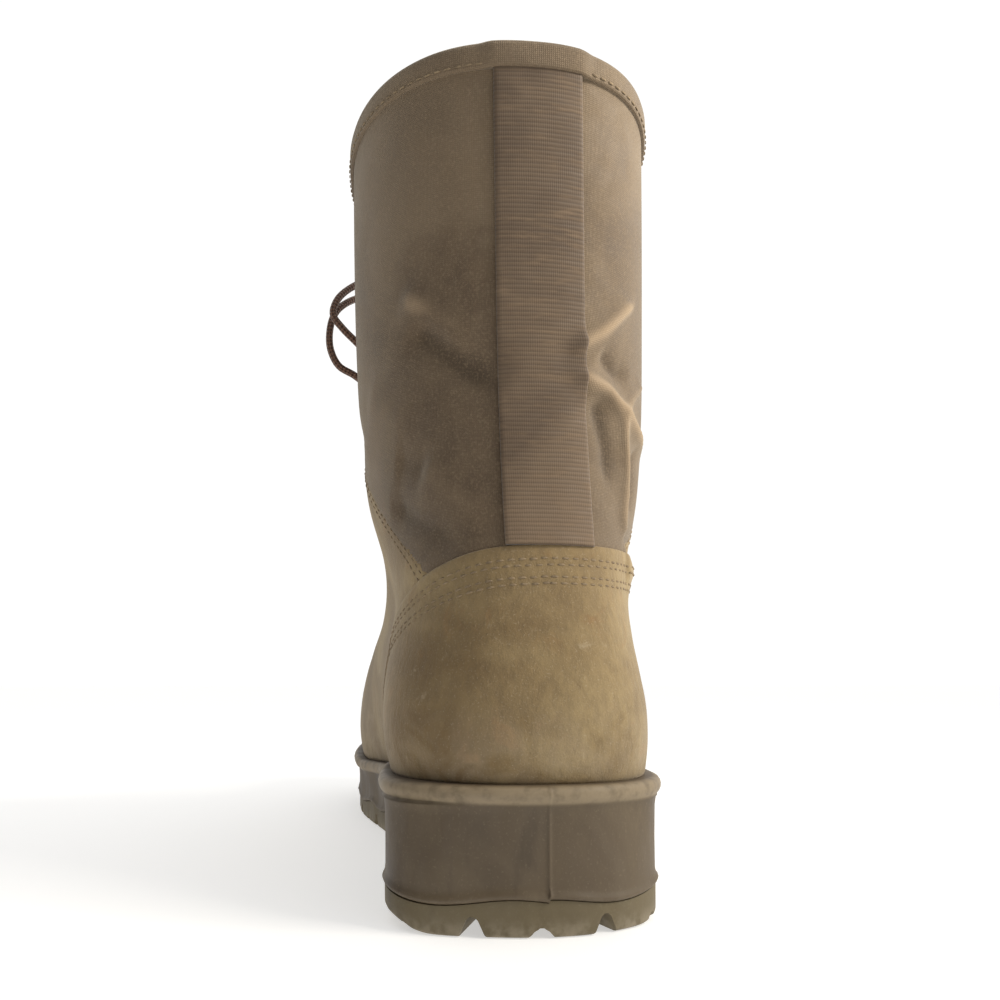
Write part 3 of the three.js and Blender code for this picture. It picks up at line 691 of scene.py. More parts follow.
@dataclass(frozen=True)
class SuedeFinish:
    """Rough-out suede: mottled nap with light scuffs and darker patches, painted highlights on the folds'
    ridges and painted shade in their hollows.
    """

    name: str = "suede"
    pale: Colour = (0.32, 0.235, 0.118)
    deep: Colour = (0.165, 0.108, 0.05)
    warm: Colour = (0.27, 0.155, 0.066)

    def build(self) -> bpy.types.Material:
        """Builds the material."""
        s = Shader(self.name)
        broad = s.noise(16, 3, 0.55, warp=0.6)
        patches = s.noise(70, 4, 0.6, warp=1.2)
        nap = s.noise(420, 4, 0.65, where=s.scaled("Object", (1, 1, 0.55)))
        grain = s.noise(1900, 2, 0.6)
        colour = s.mixed(s.fitted(broad, 0.32, 0.68), self.deep, self.pale)
        colour = s.mixed(s.fitted(patches, 0.55, 0.75, 0, 0.55), colour, self.warm)
        colour = s.mixed(s.fitted(patches, 0.2, 0.42, 0.5, 0), colour, self.deep)
        colour = s.mixed(s.fitted(nap, 0.3, 0.7, 0, 1), s.mixed(0.32, colour, (0.12, 0.085, 0.05)), colour)
        colour = s.mixed(s.fitted(grain, 0.55, 0.8, 0, 0.3), colour, (0.5, 0.42, 0.3))
        spots = s.fitted(s.noise(38, 5, 0.7, warp=2.0), 0.6, 0.72)
        scuffs = s.math("MULTIPLY", spots, s.fitted(nap, 0.35, 0.6))
        colour = s.mixed(s.math("MULTIPLY", scuffs, 0.5), colour, (0.47, 0.39, 0.27))
        dust = s.fitted(s.height_above_floor(), 0.035, 0.07, 0.35, 0)
        colour = s.mixed(s.math("MULTIPLY", dust, s.fitted(patches, 0.3, 0.7)), colour, (0.42, 0.35, 0.25))
        folds = s.relief()
        # Painted highlight on the folds' ridges and painted shade in their hollows.
        colour = s.mixed(s.fitted(folds, 0.3, 1.8, 0.0, 0.35), colour, (0.46, 0.36, 0.22))
        colour = s.mixed(s.fitted(folds, -1.8, -0.2, 0.4, 0.0), colour, (0.09, 0.06, 0.033))
        s.bump(nap, 0.35, 0.8)
        s.bump(grain, 0.12, 0.9)
        s.bump(patches, 0.5, 0.35)
        return s.done(colour, s.fitted(patches, 0.2, 0.8, 0.84, 0.98), sheen=0.35, specular=0.2,
                      sheen_tint=(1.0, 0.9, 0.75))


@dataclass(frozen=True)
class WovenFinish:
    """Plain woven nylon with a fine crossed weave, faded patches, painted highlights on the folds' ridges and
    painted shade in their hollows.
    """

    name: str
    light: Colour
    dark: Colour
    pitch: float = 0.55
    sheen: float = 0.3

    def build(self) -> bpy.types.Material:
        """Builds the material."""
        s = Shader(self.name)
        across, up = (s.waves(direction, self.pitch, 1.2, 0.4) for direction in "XY")
        weave = s.math("MULTIPLY", across, up)
        broad = s.noise(18, 3, 0.6, warp=0.8)
        fade = s.noise(110, 4, 0.65)
        slub = s.noise(1500, 3, 0.6)
        folds = s.relief()
        folds = s.math("ADD", folds, s.math("MULTIPLY", s.math("SUBTRACT", fade, 0.5), 0.5))
        colour = s.mixed(s.fitted(broad, 0.3, 0.7), self.dark, self.light)
        colour = s.mixed(s.fitted(fade, 0.35, 0.65, 0.0, 0.35), colour, self.light)
        # Painted highlight on the folds' ridges and painted shade in their hollows; the faded patches' noise
        # added to the fold height blurs their edges.
        colour = s.mixed(s.fitted(folds, 0.5, 2.4, 0.0, 0.85), colour, tinted(self.light, 2.1))
        colour = s.mixed(s.fitted(folds, -2.6, -0.2, 0.75, 0.0), colour, tinted(self.dark, 0.6))
        colour = s.mixed(s.fitted(weave, 0.0, 0.6, 0.28, 0.0), colour, tinted(self.dark, 0.5))
        colour = s.mixed(s.fitted(slub, 0.45, 0.75, 0, 0.35), colour, tinted(self.light, 1.5))
        s.bump(weave, 0.12, 0.7)
        s.bump(slub, 0.12, 0.6)
        s.bump(fade, 0.5, 0.3)
        return s.done(colour, s.fitted(fade, 0.3, 0.7, 0.7, 0.88), sheen=self.sheen, specular=0.3,
                      sheen_tint=(1.0, 0.92, 0.78))


@dataclass(frozen=True)
class RubberFinish:
    """Moulded rubber with a faint stipple, worn smears, a painted highlight on the midsole's lip and dust in
    the low places.
    """

    name: str
    clean: Colour
    dusty: Colour
    worn: Colour
    gloss: float = 0.5
    dust_height: float = 0.012

    def build(self) -> bpy.types.Material:
        """Builds the material."""
        s = Shader(self.name)
        broad = s.noise(22, 4, 0.6, warp=1.0)
        smear = s.noise(75, 4, 0.6, where=s.scaled("Object", (1, 1, 0.45)), warp=0.4)
        stipple = s.noise(1300, 3, 0.6)
        bump_scale = s.noise(260, 3, 0.55)
        colour = s.mixed(s.fitted(broad, 0.3, 0.7), self.clean, self.dusty)
        colour = s.mixed(s.fitted(smear, 0.5, 0.8, 0, 0.45), colour, self.worn)
        colour = s.mixed(s.fitted(smear, 0.25, 0.42, 0.45, 0), colour, tinted(self.clean, 0.62))
        colour = s.mixed(s.fitted(stipple, 0.55, 0.75, 0, 0.3), colour, self.worn)
        # Painted highlight on the midsole's lip: the "relief" share there, broken up by noise, mixes in a
        # lighter copy of the worn colour.
        high_grain = s.fitted(bump_scale, 0.25, 0.6, 0.45, 1.0)
        lip_highlight = s.math("MULTIPLY", s.fitted(s.relief(), 0.05, 0.8), high_grain)
        colour = s.mixed(s.math("MULTIPLY", lip_highlight, 0.75), colour, tinted(self.worn, 1.6))
        low = s.fitted(s.height_above_floor(), 0.0, self.dust_height, 0.6, 0)
        colour = s.mixed(s.math("MULTIPLY", low, s.fitted(bump_scale, 0.35, 0.65)), colour, (0.33, 0.28, 0.2))
        s.bump(stipple, 0.08, 0.7)
        s.bump(bump_scale, 0.18, 0.5)
        rough = s.fitted(smear, 0.3, 0.7, self.gloss, self.gloss + 0.22)
        return s.done(colour, rough, sheen=0.0, specular=0.42)


@dataclass(frozen=True)
class WebbingFinish:
    """Ribbed webbing: ribs across it, and fine threads along it."""

    RIB: ClassVar[float] = 1.25
    THREAD: ClassVar[float] = 0.62
    name: str = "webbing"
    light: Colour = (0.16, 0.11, 0.068)
    dark: Colour = (0.085, 0.056, 0.035)

    def build(self) -> bpy.types.Material:
        """Builds the material."""
        s = Shader(self.name)
        rib, thread = s.waves("Y", self.RIB, 0.8, 0.5), s.waves("X", self.THREAD, 2.2, 0.5)
        broad = s.noise(24, 3, 0.6, warp=0.5)
        streak = s.noise(500, 3, 0.6, where=s.scaled("Object", (0.2, 0.2, 1)))
        colour = s.mixed(s.fitted(broad, 0.3, 0.7), self.dark, self.light)
        low = s.fitted(s.height_above_floor(), 0.104, 0.125, 0.45, 0.0)
        colour = s.mixed(low, colour, tinted(self.light, 1.35))
        colour = s.mixed(s.fitted(rib, 0.0, 0.5, 0.32, 0), colour, tinted(self.dark, 0.5))
        colour = s.mixed(s.fitted(streak, 0.5, 0.75, 0, 0.45), colour, tinted(self.light, 1.35))
        s.bump(rib, 0.14, 0.6)
        s.bump(thread, 0.07, 0.5)
        return s.done(colour, s.fitted(streak, 0.3, 0.7, 0.66, 0.85), sheen=0.2, specular=0.35)


@dataclass(frozen=True)
class CordFinish:
    """Round braided cord: two crossed spirals of yarn on the piece's own UV map."""

    name: str = "lace_braid"
    light: Colour = (0.21, 0.115, 0.075)
    dark: Colour = (0.07, 0.036, 0.024)
    picks: float = 190.0

    def build(self) -> bpy.types.Material:
        """Builds the material."""
        s = Shader(self.name)
        split = s.node("ShaderNodeSeparateXYZ")
        s.links.new(s.coords.outputs["UV"], split.inputs[0])
        turns = []
        for hand in (1, -1):
            around = s.math("MULTIPLY", split.outputs[0], 4 * hand * 2 * math.pi)
            along = s.math("MULTIPLY", split.outputs[1], self.picks)
            turns.append(s.math("SINE", s.math("ADD", around, along)))
        braid = s.math("MULTIPLY", turns[0], turns[1])
        fuzz = s.noise(1500, 2, 0.6)
        colour = s.mixed(s.fitted(braid, -0.6, 0.7), self.dark, self.light)
        colour = s.mixed(s.fitted(fuzz, 0.5, 0.75, 0, 0.4), colour, tinted(self.light, 1.4))
        s.bump(braid, 0.25, 0.9)
        s.bump(fuzz, 0.08, 0.7)
        return s.done(colour, 0.72, sheen=0.3, specular=0.3)


@dataclass(frozen=True)
class PlainFinish:
    """Thread, metal and lace tips: one colour with wear and fine relief."""

    name: str
    colour: Colour
    worn: Colour
    roughness: float
    metallic: float = 0.0
    grain: float = 900.0

    def build(self) -> bpy.types.Material:
        """Builds the material."""
        s = Shader(self.name)
        spots = s.noise(self.grain, 3, 0.6)
        broad = s.noise(120, 3, 0.6)
        colour = s.mixed(s.fitted(broad, 0.35, 0.7), self.colour, self.worn)
        colour = s.mixed(s.fitted(spots, 0.35, 0.5, 0.4, 0), colour, tinted(self.colour, 0.5))
        s.bump(spots, 0.05, 0.6)
        return s.done(colour, s.fitted(broad, 0.3, 0.7, self.roughness, min(1.0, self.roughness + 0.2)),
                      metallic=self.metallic)


class Wardrobe:
    """Every finish of the boot, built once."""

    def __init__(self) -> None:
        """Builds the materials."""
        self.suede = SuedeFinish().build()
        self.nylon = WovenFinish("nylon", (0.2, 0.145, 0.09), (0.105, 0.071, 0.043)).build()
        self.lining = WovenFinish("lining", (0.19, 0.155, 0.115), (0.11, 0.085, 0.06), pitch=1.3).build()
        self.tongue = WovenFinish("tongue_nylon", (0.215, 0.16, 0.105), (0.125, 0.088, 0.056)).build()
        self.footbed = WovenFinish("footbed", (0.13, 0.11, 0.085), (0.07, 0.058, 0.045), pitch=1.6).build()
        self.webbing = WebbingFinish().build()
        self.wall = RubberFinish("sole_wall", (0.078, 0.054, 0.031), (0.12, 0.088, 0.052),
                                 (0.2, 0.156, 0.098)).build()
        self.tread = RubberFinish("sole_tread", (0.112, 0.086, 0.045), (0.155, 0.123, 0.07),
                                  (0.22, 0.18, 0.11), gloss=0.62, dust_height=0.006).build()
        self.lace = CordFinish().build()
        self.thread = PlainFinish("thread", (0.2, 0.145, 0.085), (0.29, 0.215, 0.13), 0.8).build()
        self.metal = PlainFinish("eyelet_brass", (0.20, 0.135, 0.07), (0.33, 0.25, 0.15), 0.38,
                                 metallic=0.85).build()
        self.tip = PlainFinish("lace_tip", (0.11, 0.06, 0.04), (0.16, 0.10, 0.07), 0.3).build()


def fitted_out(piece: bpy.types.Object, slot: str, *nodes: str) -> bpy.types.Object:
    """Rides a piece on the boot, hides the nodes of the model that it stands for and logs its face count."""
    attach(piece, BODY)
    if nodes:
        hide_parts(*nodes)
    LOG.info("%s: %d faces", piece.name, len(piece.data.polygons))
    return piece


# ------------------------------------------------------------------ upper


def edge_lift(distances: Array, roll: float = 1.0) -> Array:
    """Share of a sheet's thickness at distances from its cut edge, in millimetres."""
    inside = np.clip(1 - distances / roll, 0, 1)
    return 0.3 + 0.7 * np.sqrt(1 - inside**2)


@dataclass
class Overlay:
    """A sheet of the upper that lies on the last between two rows, column by column.

    Fields:
        low, high: rows of its lower and upper edge for each turn.
        base: height of its back over the last.
        thickness: how thick it is.
    """

    last: Last
    turns: Array
    low: Array
    high: Array
    base: float
    thickness: float
    steps_up: int = 40

    def build(self, name: str, slots: Sequence[bpy.types.Material]) -> bpy.types.Object:
        """Makes the sheet with soft rolled edges."""
        length = float(np.median(self.high - self.low)) * 25
        up = spread(self.steps_up, max(length, 6.0))
        rows = self.low[None] + (self.high - self.low)[None] * up[:, None]
        turns = np.broadcast_to(self.turns[None], rows.shape)
        flat = self.last.point(rows, turns)
        from_low = np.linalg.norm(flat - flat[:1], axis=2)
        from_high = np.linalg.norm(flat - flat[-1:], axis=2)
        left = np.linalg.norm(flat - flat[:, :1], axis=2)
        right = np.linalg.norm(flat - flat[:, -1:], axis=2)
        nearest = np.minimum(np.minimum(from_low, from_high), np.minimum(left, right))
        outside = self.last.surface(rows, turns, self.base + self.thickness * edge_lift(nearest))
        inside = self.last.surface(rows, turns, self.base)
        return closed_sheet(name, outside, inside, slots, self.last.relief(flat))


@dataclass
class Pattern:
    """Where the upper's panels and edges lie on the last.

    Sizes are millimetres; rows and turns are places on the last.
    """

    last: Last
    throat_rows: tuple[float, ...] = (5.75, 5.83, 6.0, 8.0, 10.0, 12.0)
    throat_halves: tuple[float, ...] = (3.0, 7.0, 9.5, 12.0, 14.5, 17.0)
    first_eyelet: float = 6.15
    last_eyelet: float = 10.6
    eyelet_pairs: int = 8
    eyelet_inset: float = 9.5
    facing_width: float = 19.0
    webbing_width: float = 25.4
    webbing_middle: tuple[tuple[float, float], ...] = ((100.0, 3.6), (172.0, 1.0), (260.0, -1.3))
    counter_outer: tuple[tuple[float, float], ...] = (
        (-165, 103.5), (-142, 103.5), (-112, 104.5), (-96, 101), (-78, 86), (-62, 64), (-50, 30), (-46, 18))
    counter_inner: tuple[tuple[float, float], ...] = (
        (-165, 103.5), (-142, 103.5), (-131, 98.5), (-122, 94.5), (-100, 85), (-80, 69), (-66, 54), (-56, 30),
        (-52, 18))
    # Upper edge of the suede vamp and quarters, as turns from the heel seam and rows.
    vamp_edge: tuple[tuple[float, float], ...] = (
        (24, 5.2), (34, 5.57), (40, 5.93), (57, 6.67), (74, 7.4), (92, 8.0), (110, 8.35), (128, 8.5))

    def throat_half(self, row: Array) -> Array:
        """Half width of the throat at a row."""
        return np.interp(row, self.throat_rows, self.throat_halves)

    def across(self, row: Array, side: Side, distance: Array) -> Array:
        """Turns at a level distance from the front line at each row."""
        row, distance = np.broadcast_arrays(np.asarray(row, float), np.asarray(distance, float))
        flat_rows, flat_gaps = row.ravel(), distance.ravel()
        back = np.linspace(0, 1.75, 161) ** 1.3
        turns = side.value * (math.pi - back)
        x = self.last.point(flat_rows[:, None], turns[None])[..., 0]
        gaps = np.abs(x - x[:, :1])
        rising = np.maximum.accumulate(gaps, axis=1)
        found = [np.interp(gap, line, turns) for gap, line in zip(flat_gaps, rising)]
        return np.array(found).reshape(row.shape)

    def rows_where(self, turns: Array, level: Callable[[Array], Array]) -> Array:
        """First row at each turn where `level` of the points reaches zero."""
        rows = np.linspace(0, 12, 481)
        values = level(self.last.point(rows[:, None], turns[None]))
        first = np.argmax(values >= 0, axis=0)
        first = np.clip(first, 1, len(rows) - 1)
        k = np.arange(len(turns))
        a, b = values[first - 1, k], values[first, k]
        share = np.clip(np.where(b != a, -a / np.where(b != a, b - a, 1), 0), 0, 1)
        return np.where(values[0] >= 0, 0, rows[first - 1] + share * (rows[first] - rows[first - 1]))

    def counter_top(self, turns: Array) -> Array:
        """Rows of the heel counter's upper edge."""

        def level(points: Array) -> Array:
            outer = np.interp(points[..., 1], *zip(*self.counter_outer))
            inner = np.interp(points[..., 1], *zip(*self.counter_inner))
            return points[..., 2] - np.where(points[..., 0] >= 0, outer, inner)

        return self.rows_where(turns, level)

    def vamp_top(self, turns: Array) -> Array:
        """Rows of the suede's upper edge, from the counter to the throat."""
        degrees = np.degrees(np.abs((turns + math.pi) % (2 * math.pi) - math.pi))
        places, rows = zip(*self.vamp_edge)
        row = np.interp(degrees, places, rows)
        over_toe = smooth(128, 180, degrees)
        return row * (1 - over_toe) + 5.66 * over_toe

    def suede_top(self, turns: Array) -> Array:
        """Rows up to which suede of any kind covers the shell."""
        around = np.radians(np.linspace(-180, 180, 721))
        vamp = np.where(np.abs(around) > math.radians(24.5), self.vamp_top(around), 0)
        top = np.maximum(self.counter_top(around), vamp)
        return np.interp((turns + math.pi) % (2 * math.pi) - math.pi, around, top)

    def eyelets(self) -> list[tuple[int, Side, float, float]]:
        """Pair, side, row and turn of each eyelet."""
        seats = []
        for pair, row in enumerate(np.linspace(self.first_eyelet, self.last_eyelet, self.eyelet_pairs)):
            for side in Side:
                inset = self.throat_half(row) + self.eyelet_inset
                seats.append((pair, side, float(row), float(self.across(row, side, inset))))
        return seats


class Upper:
    """The sewn upper: shell, suede, counter, webbing, facings, binding and stitches."""

    WALL = 2.2
    SUNK = 1.2  # how far the shell is drawn in under the suede
    SUEDE = 1.2
    COUNTER = 0.85
    FACING = 1.35
    STITCH_PITCH = 3.1
    STITCH = (2.2, 0.62, 0.42)  # length, width and height of one stitch
    # Profile of an eyelet: radius and height over its seat.
    EYELET = ((2.35, -2.4), (2.3, 0.2), (2.45, 0.9), (2.9, 1.3), (3.6, 1.35), (4.3, 1.15), (4.75, 0.7),
              (4.8, 0.2), (4.6, 0.05))
    # Section of the collar's binding, from outside over the top to inside: row and height over the last.
    BINDING = ((10.76, 0.1), (10.76, 0.95), (10.78, 1.15), (10.86, 1.25), (10.98, 1.25), (11.03, 0.9),
               (11.06, 0.1), (11.07, -1.1), (11.06, -2.3), (11.03, -3.1), (10.98, -3.45), (10.86, -3.4),
               (10.78, -3.3), (10.76, -3.1), (10.76, -2.3))

    def __init__(self, last: Last, pattern: Pattern, wardrobe: Wardrobe, repeater: Repeater) -> None:
        """Keeps what the pieces are made from."""
        self.last, self.pattern, self.wardrobe, self.repeater = last, pattern, wardrobe, repeater
        self.stitches: list[tuple[Array, Array, Array]] = []

    def shell(self) -> bpy.types.Object:
        """The nylon shell with its lining, open down the front."""
        rows = np.concatenate([np.linspace(0, 5.7, 34), [5.75, 5.79, 5.83, 5.9, 6.0],
                               np.linspace(6.06, 8.95, 92), np.linspace(9.0, 11, 38)])
        half = np.where(rows < 5.75, 0.0, self.pattern.throat_half(rows))
        starts = self.pattern.across(rows, Side.INNER, half)
        ends = self.pattern.across(rows, Side.OUTER, half)
        # The mesh is finest over the back of the shaft, where the folds are.
        share = np.concatenate([np.linspace(0, 0.33, 56), np.linspace(0.332, 0.68, 148),
                                np.linspace(0.688, 1, 52)])
        turns = starts[:, None] * (1 - share) + ends[:, None] * share
        grid = np.broadcast_to(rows[:, None], turns.shape)
        under = smooth(0.12, 0.3, self.pattern.suede_top(turns) - grid)
        outside = self.last.surface(grid, turns, -(self.SUNK + 0.15) * under)
        inside = self.last.surface(grid, turns, -self.WALL)
        relief = self.last.relief(self.last.point(grid, turns))
        slots = [self.wardrobe.nylon, self.wardrobe.lining]
        piece = closed_sheet("upper_shell", outside, inside, slots, relief)
        return fitted_out(piece, "upper_fabric", "upper")

    def suede(self) -> bpy.types.Object:
        """The suede vamp and quarters, one sheet from the counter round the toe and back."""
        turns = np.radians(np.concatenate([np.linspace(24, 150, 130), np.linspace(151, 209, 90),
                                           np.linspace(210, 336, 130)]))
        top = self.pattern.vamp_top(turns)
        piece = Overlay(self.last, turns, np.zeros_like(turns), top, -self.SUNK, self.SUEDE, 70).build(
            "suede_vamp", [self.wardrobe.suede])
        for inset in (2.2, 4.6):
            for low, high in ((33, 126), (234, 327)):
                part = np.radians(np.linspace(low, high, 120))
                self.sew(self.pattern.vamp_top(part), part, -inset, 0.0)
        return fitted_out(piece, "suede")

    def counter(self) -> bpy.types.Object:
        """The suede heel counter with two double rows of stitches under its edge."""
        turns = np.radians(np.concatenate([np.linspace(-118, -60, 60), np.linspace(-59, 60, 150),
                                           np.linspace(61, 122, 62)]))
        top = self.pattern.counter_top(turns)
        reach = np.flatnonzero(top > 0.15)
        turns, top = turns[reach[0]:reach[-1] + 1], top[reach[0]:reach[-1] + 1]
        piece = Overlay(self.last, turns, np.full_like(turns, 0.0), top, -0.05, self.COUNTER, 46).build(
            "heel_counter_suede", [self.wardrobe.suede])
        for inset in (4.4, 6.3, 9.9, 11.8):
            self.sew(top, turns, -inset, self.COUNTER - 0.05, floor=50.0)
        return fitted_out(piece, "suede", "heel_counter")

    def webbing(self) -> bpy.types.Object:
        """The ribbed webbing up the back seam."""
        rows = np.linspace(self.last.row_at(0.03, 103.1), 11.02, 150)
        heights = self.last.point(rows, np.full_like(rows, 0.03))[:, 2]
        middle = np.interp(heights, *zip(*self.pattern.webbing_middle))
        share = spread(14, self.pattern.webbing_width, (0.3, 0.8, 1.5))
        offsets = (share - 0.5) * self.pattern.webbing_width
        x = middle[:, None] + offsets[None]
        fine = np.radians(np.linspace(-60, 60, 961))
        turns = np.array([np.interp(line, self.last.point(np.full(961, row), fine)[:, 0], fine)
                          for line, row in zip(x, rows)])
        grid = np.broadcast_to(rows[:, None], turns.shape)
        edge = np.minimum(share, 1 - share) * self.pattern.webbing_width
        lift = 0.35 + 1.25 * edge_lift(edge, 0.8)[None] + np.zeros_like(grid)
        outside = self.last.surface(grid, turns, lift)
        inside = self.last.surface(grid, turns, 0.2)
        piece = closed_sheet("backstay_ribbed_webbing", outside, inside, [self.wardrobe.webbing])
        return fitted_out(piece, "webbing", "backstay_webbing")

    def facings(self) -> None:
        """The two eyelet facings along the throat, each with three rows of stitches."""
        for side in Side:
            rows = np.concatenate([5.42 + 0.5 * spread(14, 18), np.linspace(6.0, 10.98, 80)])
            inner = np.where(rows < 5.75, 0.3, np.maximum(0.3, self.pattern.throat_half(rows) - 0.2))
            rounding = np.sqrt(1 - np.clip(1 - (rows - 5.42) / 0.55, 0, 1) ** 2)
            width = self.pattern.facing_width * rounding + 0.4
            share = spread(14, self.pattern.facing_width)
            gaps = inner[:, None] + width[:, None] * share[None]
            grid = np.broadcast_to(rows[:, None], gaps.shape)
            turns = self.pattern.across(grid, side, gaps)
            if side is Side.OUTER:
                turns, grid, share = turns[:, ::-1], grid[:, ::-1], share[::-1]
            edge = np.minimum(share, 1 - share) * self.pattern.facing_width
            top = np.minimum((rows - 5.42) * 36, (10.98 - rows) * 29)
            base = 0.15
            nearest = np.minimum(edge[None], np.maximum(top, 0)[:, None])
            outside = self.last.surface(grid, turns, base + self.FACING * edge_lift(nearest))
            inside = self.last.surface(grid, turns, base - 0.3)
            if side is Side.INNER:
                turns = turns % (2 * math.pi)
            piece = closed_sheet(f"facing_{side.name.lower()}", outside, inside, [self.wardrobe.suede])
            fitted_out(piece, "suede")
            line = np.linspace(5.62, 10.9, 160)
            lift = self.FACING + 0.15
            for gap in (2.2, self.pattern.facing_width - 4.4, self.pattern.facing_width - 2.2):
                at = self.pattern.across(line, side, np.maximum(0.3, self.pattern.throat_half(line)) + gap)
                self.sew(line, at, 0.0, lift)

    def binding(self) -> bpy.types.Object:
        """The folded binding round the collar."""
        count = 260
        half = self.pattern.throat_half(11.0) - 0.4
        start = float(self.pattern.across(11.0, Side.INNER, half))
        end = float(self.pattern.across(11.0, Side.OUTER, half))
        turns = np.linspace(start, end, count)
        swell = 0.35 * self._over_webbing(turns)
        loops = np.stack([self.last.surface(np.full(count, row), turns, lift + swell * (lift > -1))
                          for row, lift in self.BINDING], 1)
        sides = len(self.BINDING)
        faces = grid_faces(count, sides, wrap=True, flip=True)
        faces.append(tuple(range(sides)))
        faces.append(tuple(range((count - 1) * sides, count * sides))[::-1])
        uv = grid_uv(loops).reshape(-1, 2)
        piece = new_object("collar_binding", loops.reshape(-1, 3), faces, uv, [self.wardrobe.nylon])
        self.sew(np.full(count, 10.8), turns, 0.0, 1.35)
        return fitted_out(piece, "upper_fabric")

    def _over_webbing(self, turns: Array) -> Array:
        """Where the binding rides over the webbing."""
        x = self.last.point(np.full_like(turns, 11.0), turns)[:, 0]
        near = smooth(17, 12, np.abs(x + 1.2))
        return near * (np.abs(turns) < 1.2) * 3.0

    def sew(self, rows: Array, turns: Array, beside: float, lift: Array | float, floor: float = 0.0) -> None:
        """Lays a row of stitches along a path.

        Args:
            rows, turns: the path.
            beside: how far the row lies from it.
            lift: height of the sheet it is sewn through.
            floor: no stitches below this height.
        """
        lifts = np.broadcast_to(np.asarray(lift, float), rows.shape).copy()
        keep = self.last.point(rows, turns)[:, 2] > floor
        rows, turns, lifts = rows[keep], turns[keep], lifts[keep]
        if beside:
            rows, turns = self.last.beside(rows.copy(), turns.copy(), beside)
        points = self.last.surface(rows, turns, lifts)
        out = self.last.normal(rows, turns)
        laid = resampled(np.hstack([points, out]), self.STITCH_PITCH)
        places, out = laid[:, :3], unit(laid[:, 3:])
        self.stitches.append((places, unit(np.gradient(places, axis=0)), out))

    def sewing(self) -> bpy.types.Object:
        """All the stitches as one piece."""
        length, width, height = self.STITCH
        steps, sides = 5, 6
        along = np.linspace(-1, 1, steps)
        section = np.sqrt(np.clip(1 - along**4, 0.05, 1))
        angles = np.linspace(0, 2 * np.pi, sides, endpoint=False)
        arch = (1 - along**2)[:, None] * 0.14 - 0.06
        points = np.stack([np.broadcast_to(along[:, None] * length / 2, (steps, sides)),
                           section[:, None] * np.cos(angles)[None] * width / 2,
                           section[:, None] * np.sin(angles)[None] * height / 2 + arch], -1)
        faces = grid_faces(steps, sides, wrap=True)
        faces += [tuple(range(sides))[::-1], tuple(range((steps - 1) * sides, steps * sides))]
        shape = new_object("stitch_shape", points.reshape(-1, 3), faces)
        places, along, out = (np.vstack(part) for part in zip(*self.stitches))
        piece = self.repeater.repeat("stitching", shape, places, along, out, self.wardrobe.thread, 0.08)
        return fitted_out(piece, "upper_fabric")

    def eyelets(self) -> bpy.types.Object:
        """Sixteen rolled metal eyelets."""
        sides = 28
        angles = np.linspace(0, 2 * np.pi, sides, endpoint=False)
        points = np.array([[(r * math.cos(a), r * math.sin(a), h) for a in angles] for r, h in self.EYELET])
        faces = grid_faces(len(self.EYELET), sides, wrap=True, flip=True)
        last_ring = (len(self.EYELET) - 1) * sides
        faces += [(last_ring + (j + 1) % sides, last_ring + j, j, (j + 1) % sides) for j in range(sides)]
        shape = new_object("eyelet_shape", points.reshape(-1, 3), faces)
        seats = self.pattern.eyelets()
        rows, turns = np.array([s[2] for s in seats]), np.array([s[3] for s in seats])
        lift = np.full_like(rows, self.FACING + 0.15)
        places = self.last.surface(rows, turns, lift)
        out = self.last.normal(rows, turns)
        along = unit(np.cross(out, [0.0, 0.0, 1.0]))
        piece = self.repeater.repeat("eyelet_rings", shape, places, along, out, self.wardrobe.metal)
        nodes = [f"eyelet_{side.name.lower()}_{pair + 1}" for pair, side, _, _ in seats]
        return fitted_out(piece, "eyelet_metal", *nodes)

    def tongue(self) -> bpy.types.Object:
        """The padded tongue behind the throat."""
        rows = 5.0 + 6.7 * spread(60, 190, (0.4, 1.0, 2.0))
        share = (rows - 5.0) / 6.7
        half = 20 + 13 * np.sqrt(share)
        starts = self.pattern.across(rows, Side.OUTER, half)
        ends = self.pattern.across(rows, Side.INNER, half) % (2 * math.pi)
        across = spread(34, 56, (0.4, 1.0, 2.0))
        turns = starts[:, None] + (ends - starts)[:, None] * across[None]
        grid = np.broadcast_to(rows[:, None], turns.shape)
        edge = np.minimum(across, 1 - across) * 56
        top = np.minimum(1 - share, share) * 190
        nearest = np.minimum(edge[None], top[:, None])
        swell = 1.9 * np.sqrt(np.clip(1 - np.clip(1 - nearest / 2.2, 0, 1) ** 2, 0.02, 1))
        outside = self.last.surface(grid, turns, -5.0 + swell)
        inside = self.last.surface(grid, turns, -5.0 - swell)
        piece = closed_sheet("tongue_padded", outside, inside, [self.wardrobe.tongue])
        return fitted_out(piece, "tongue_fabric", "tongue")


# ------------------------------------------------------------------ sole


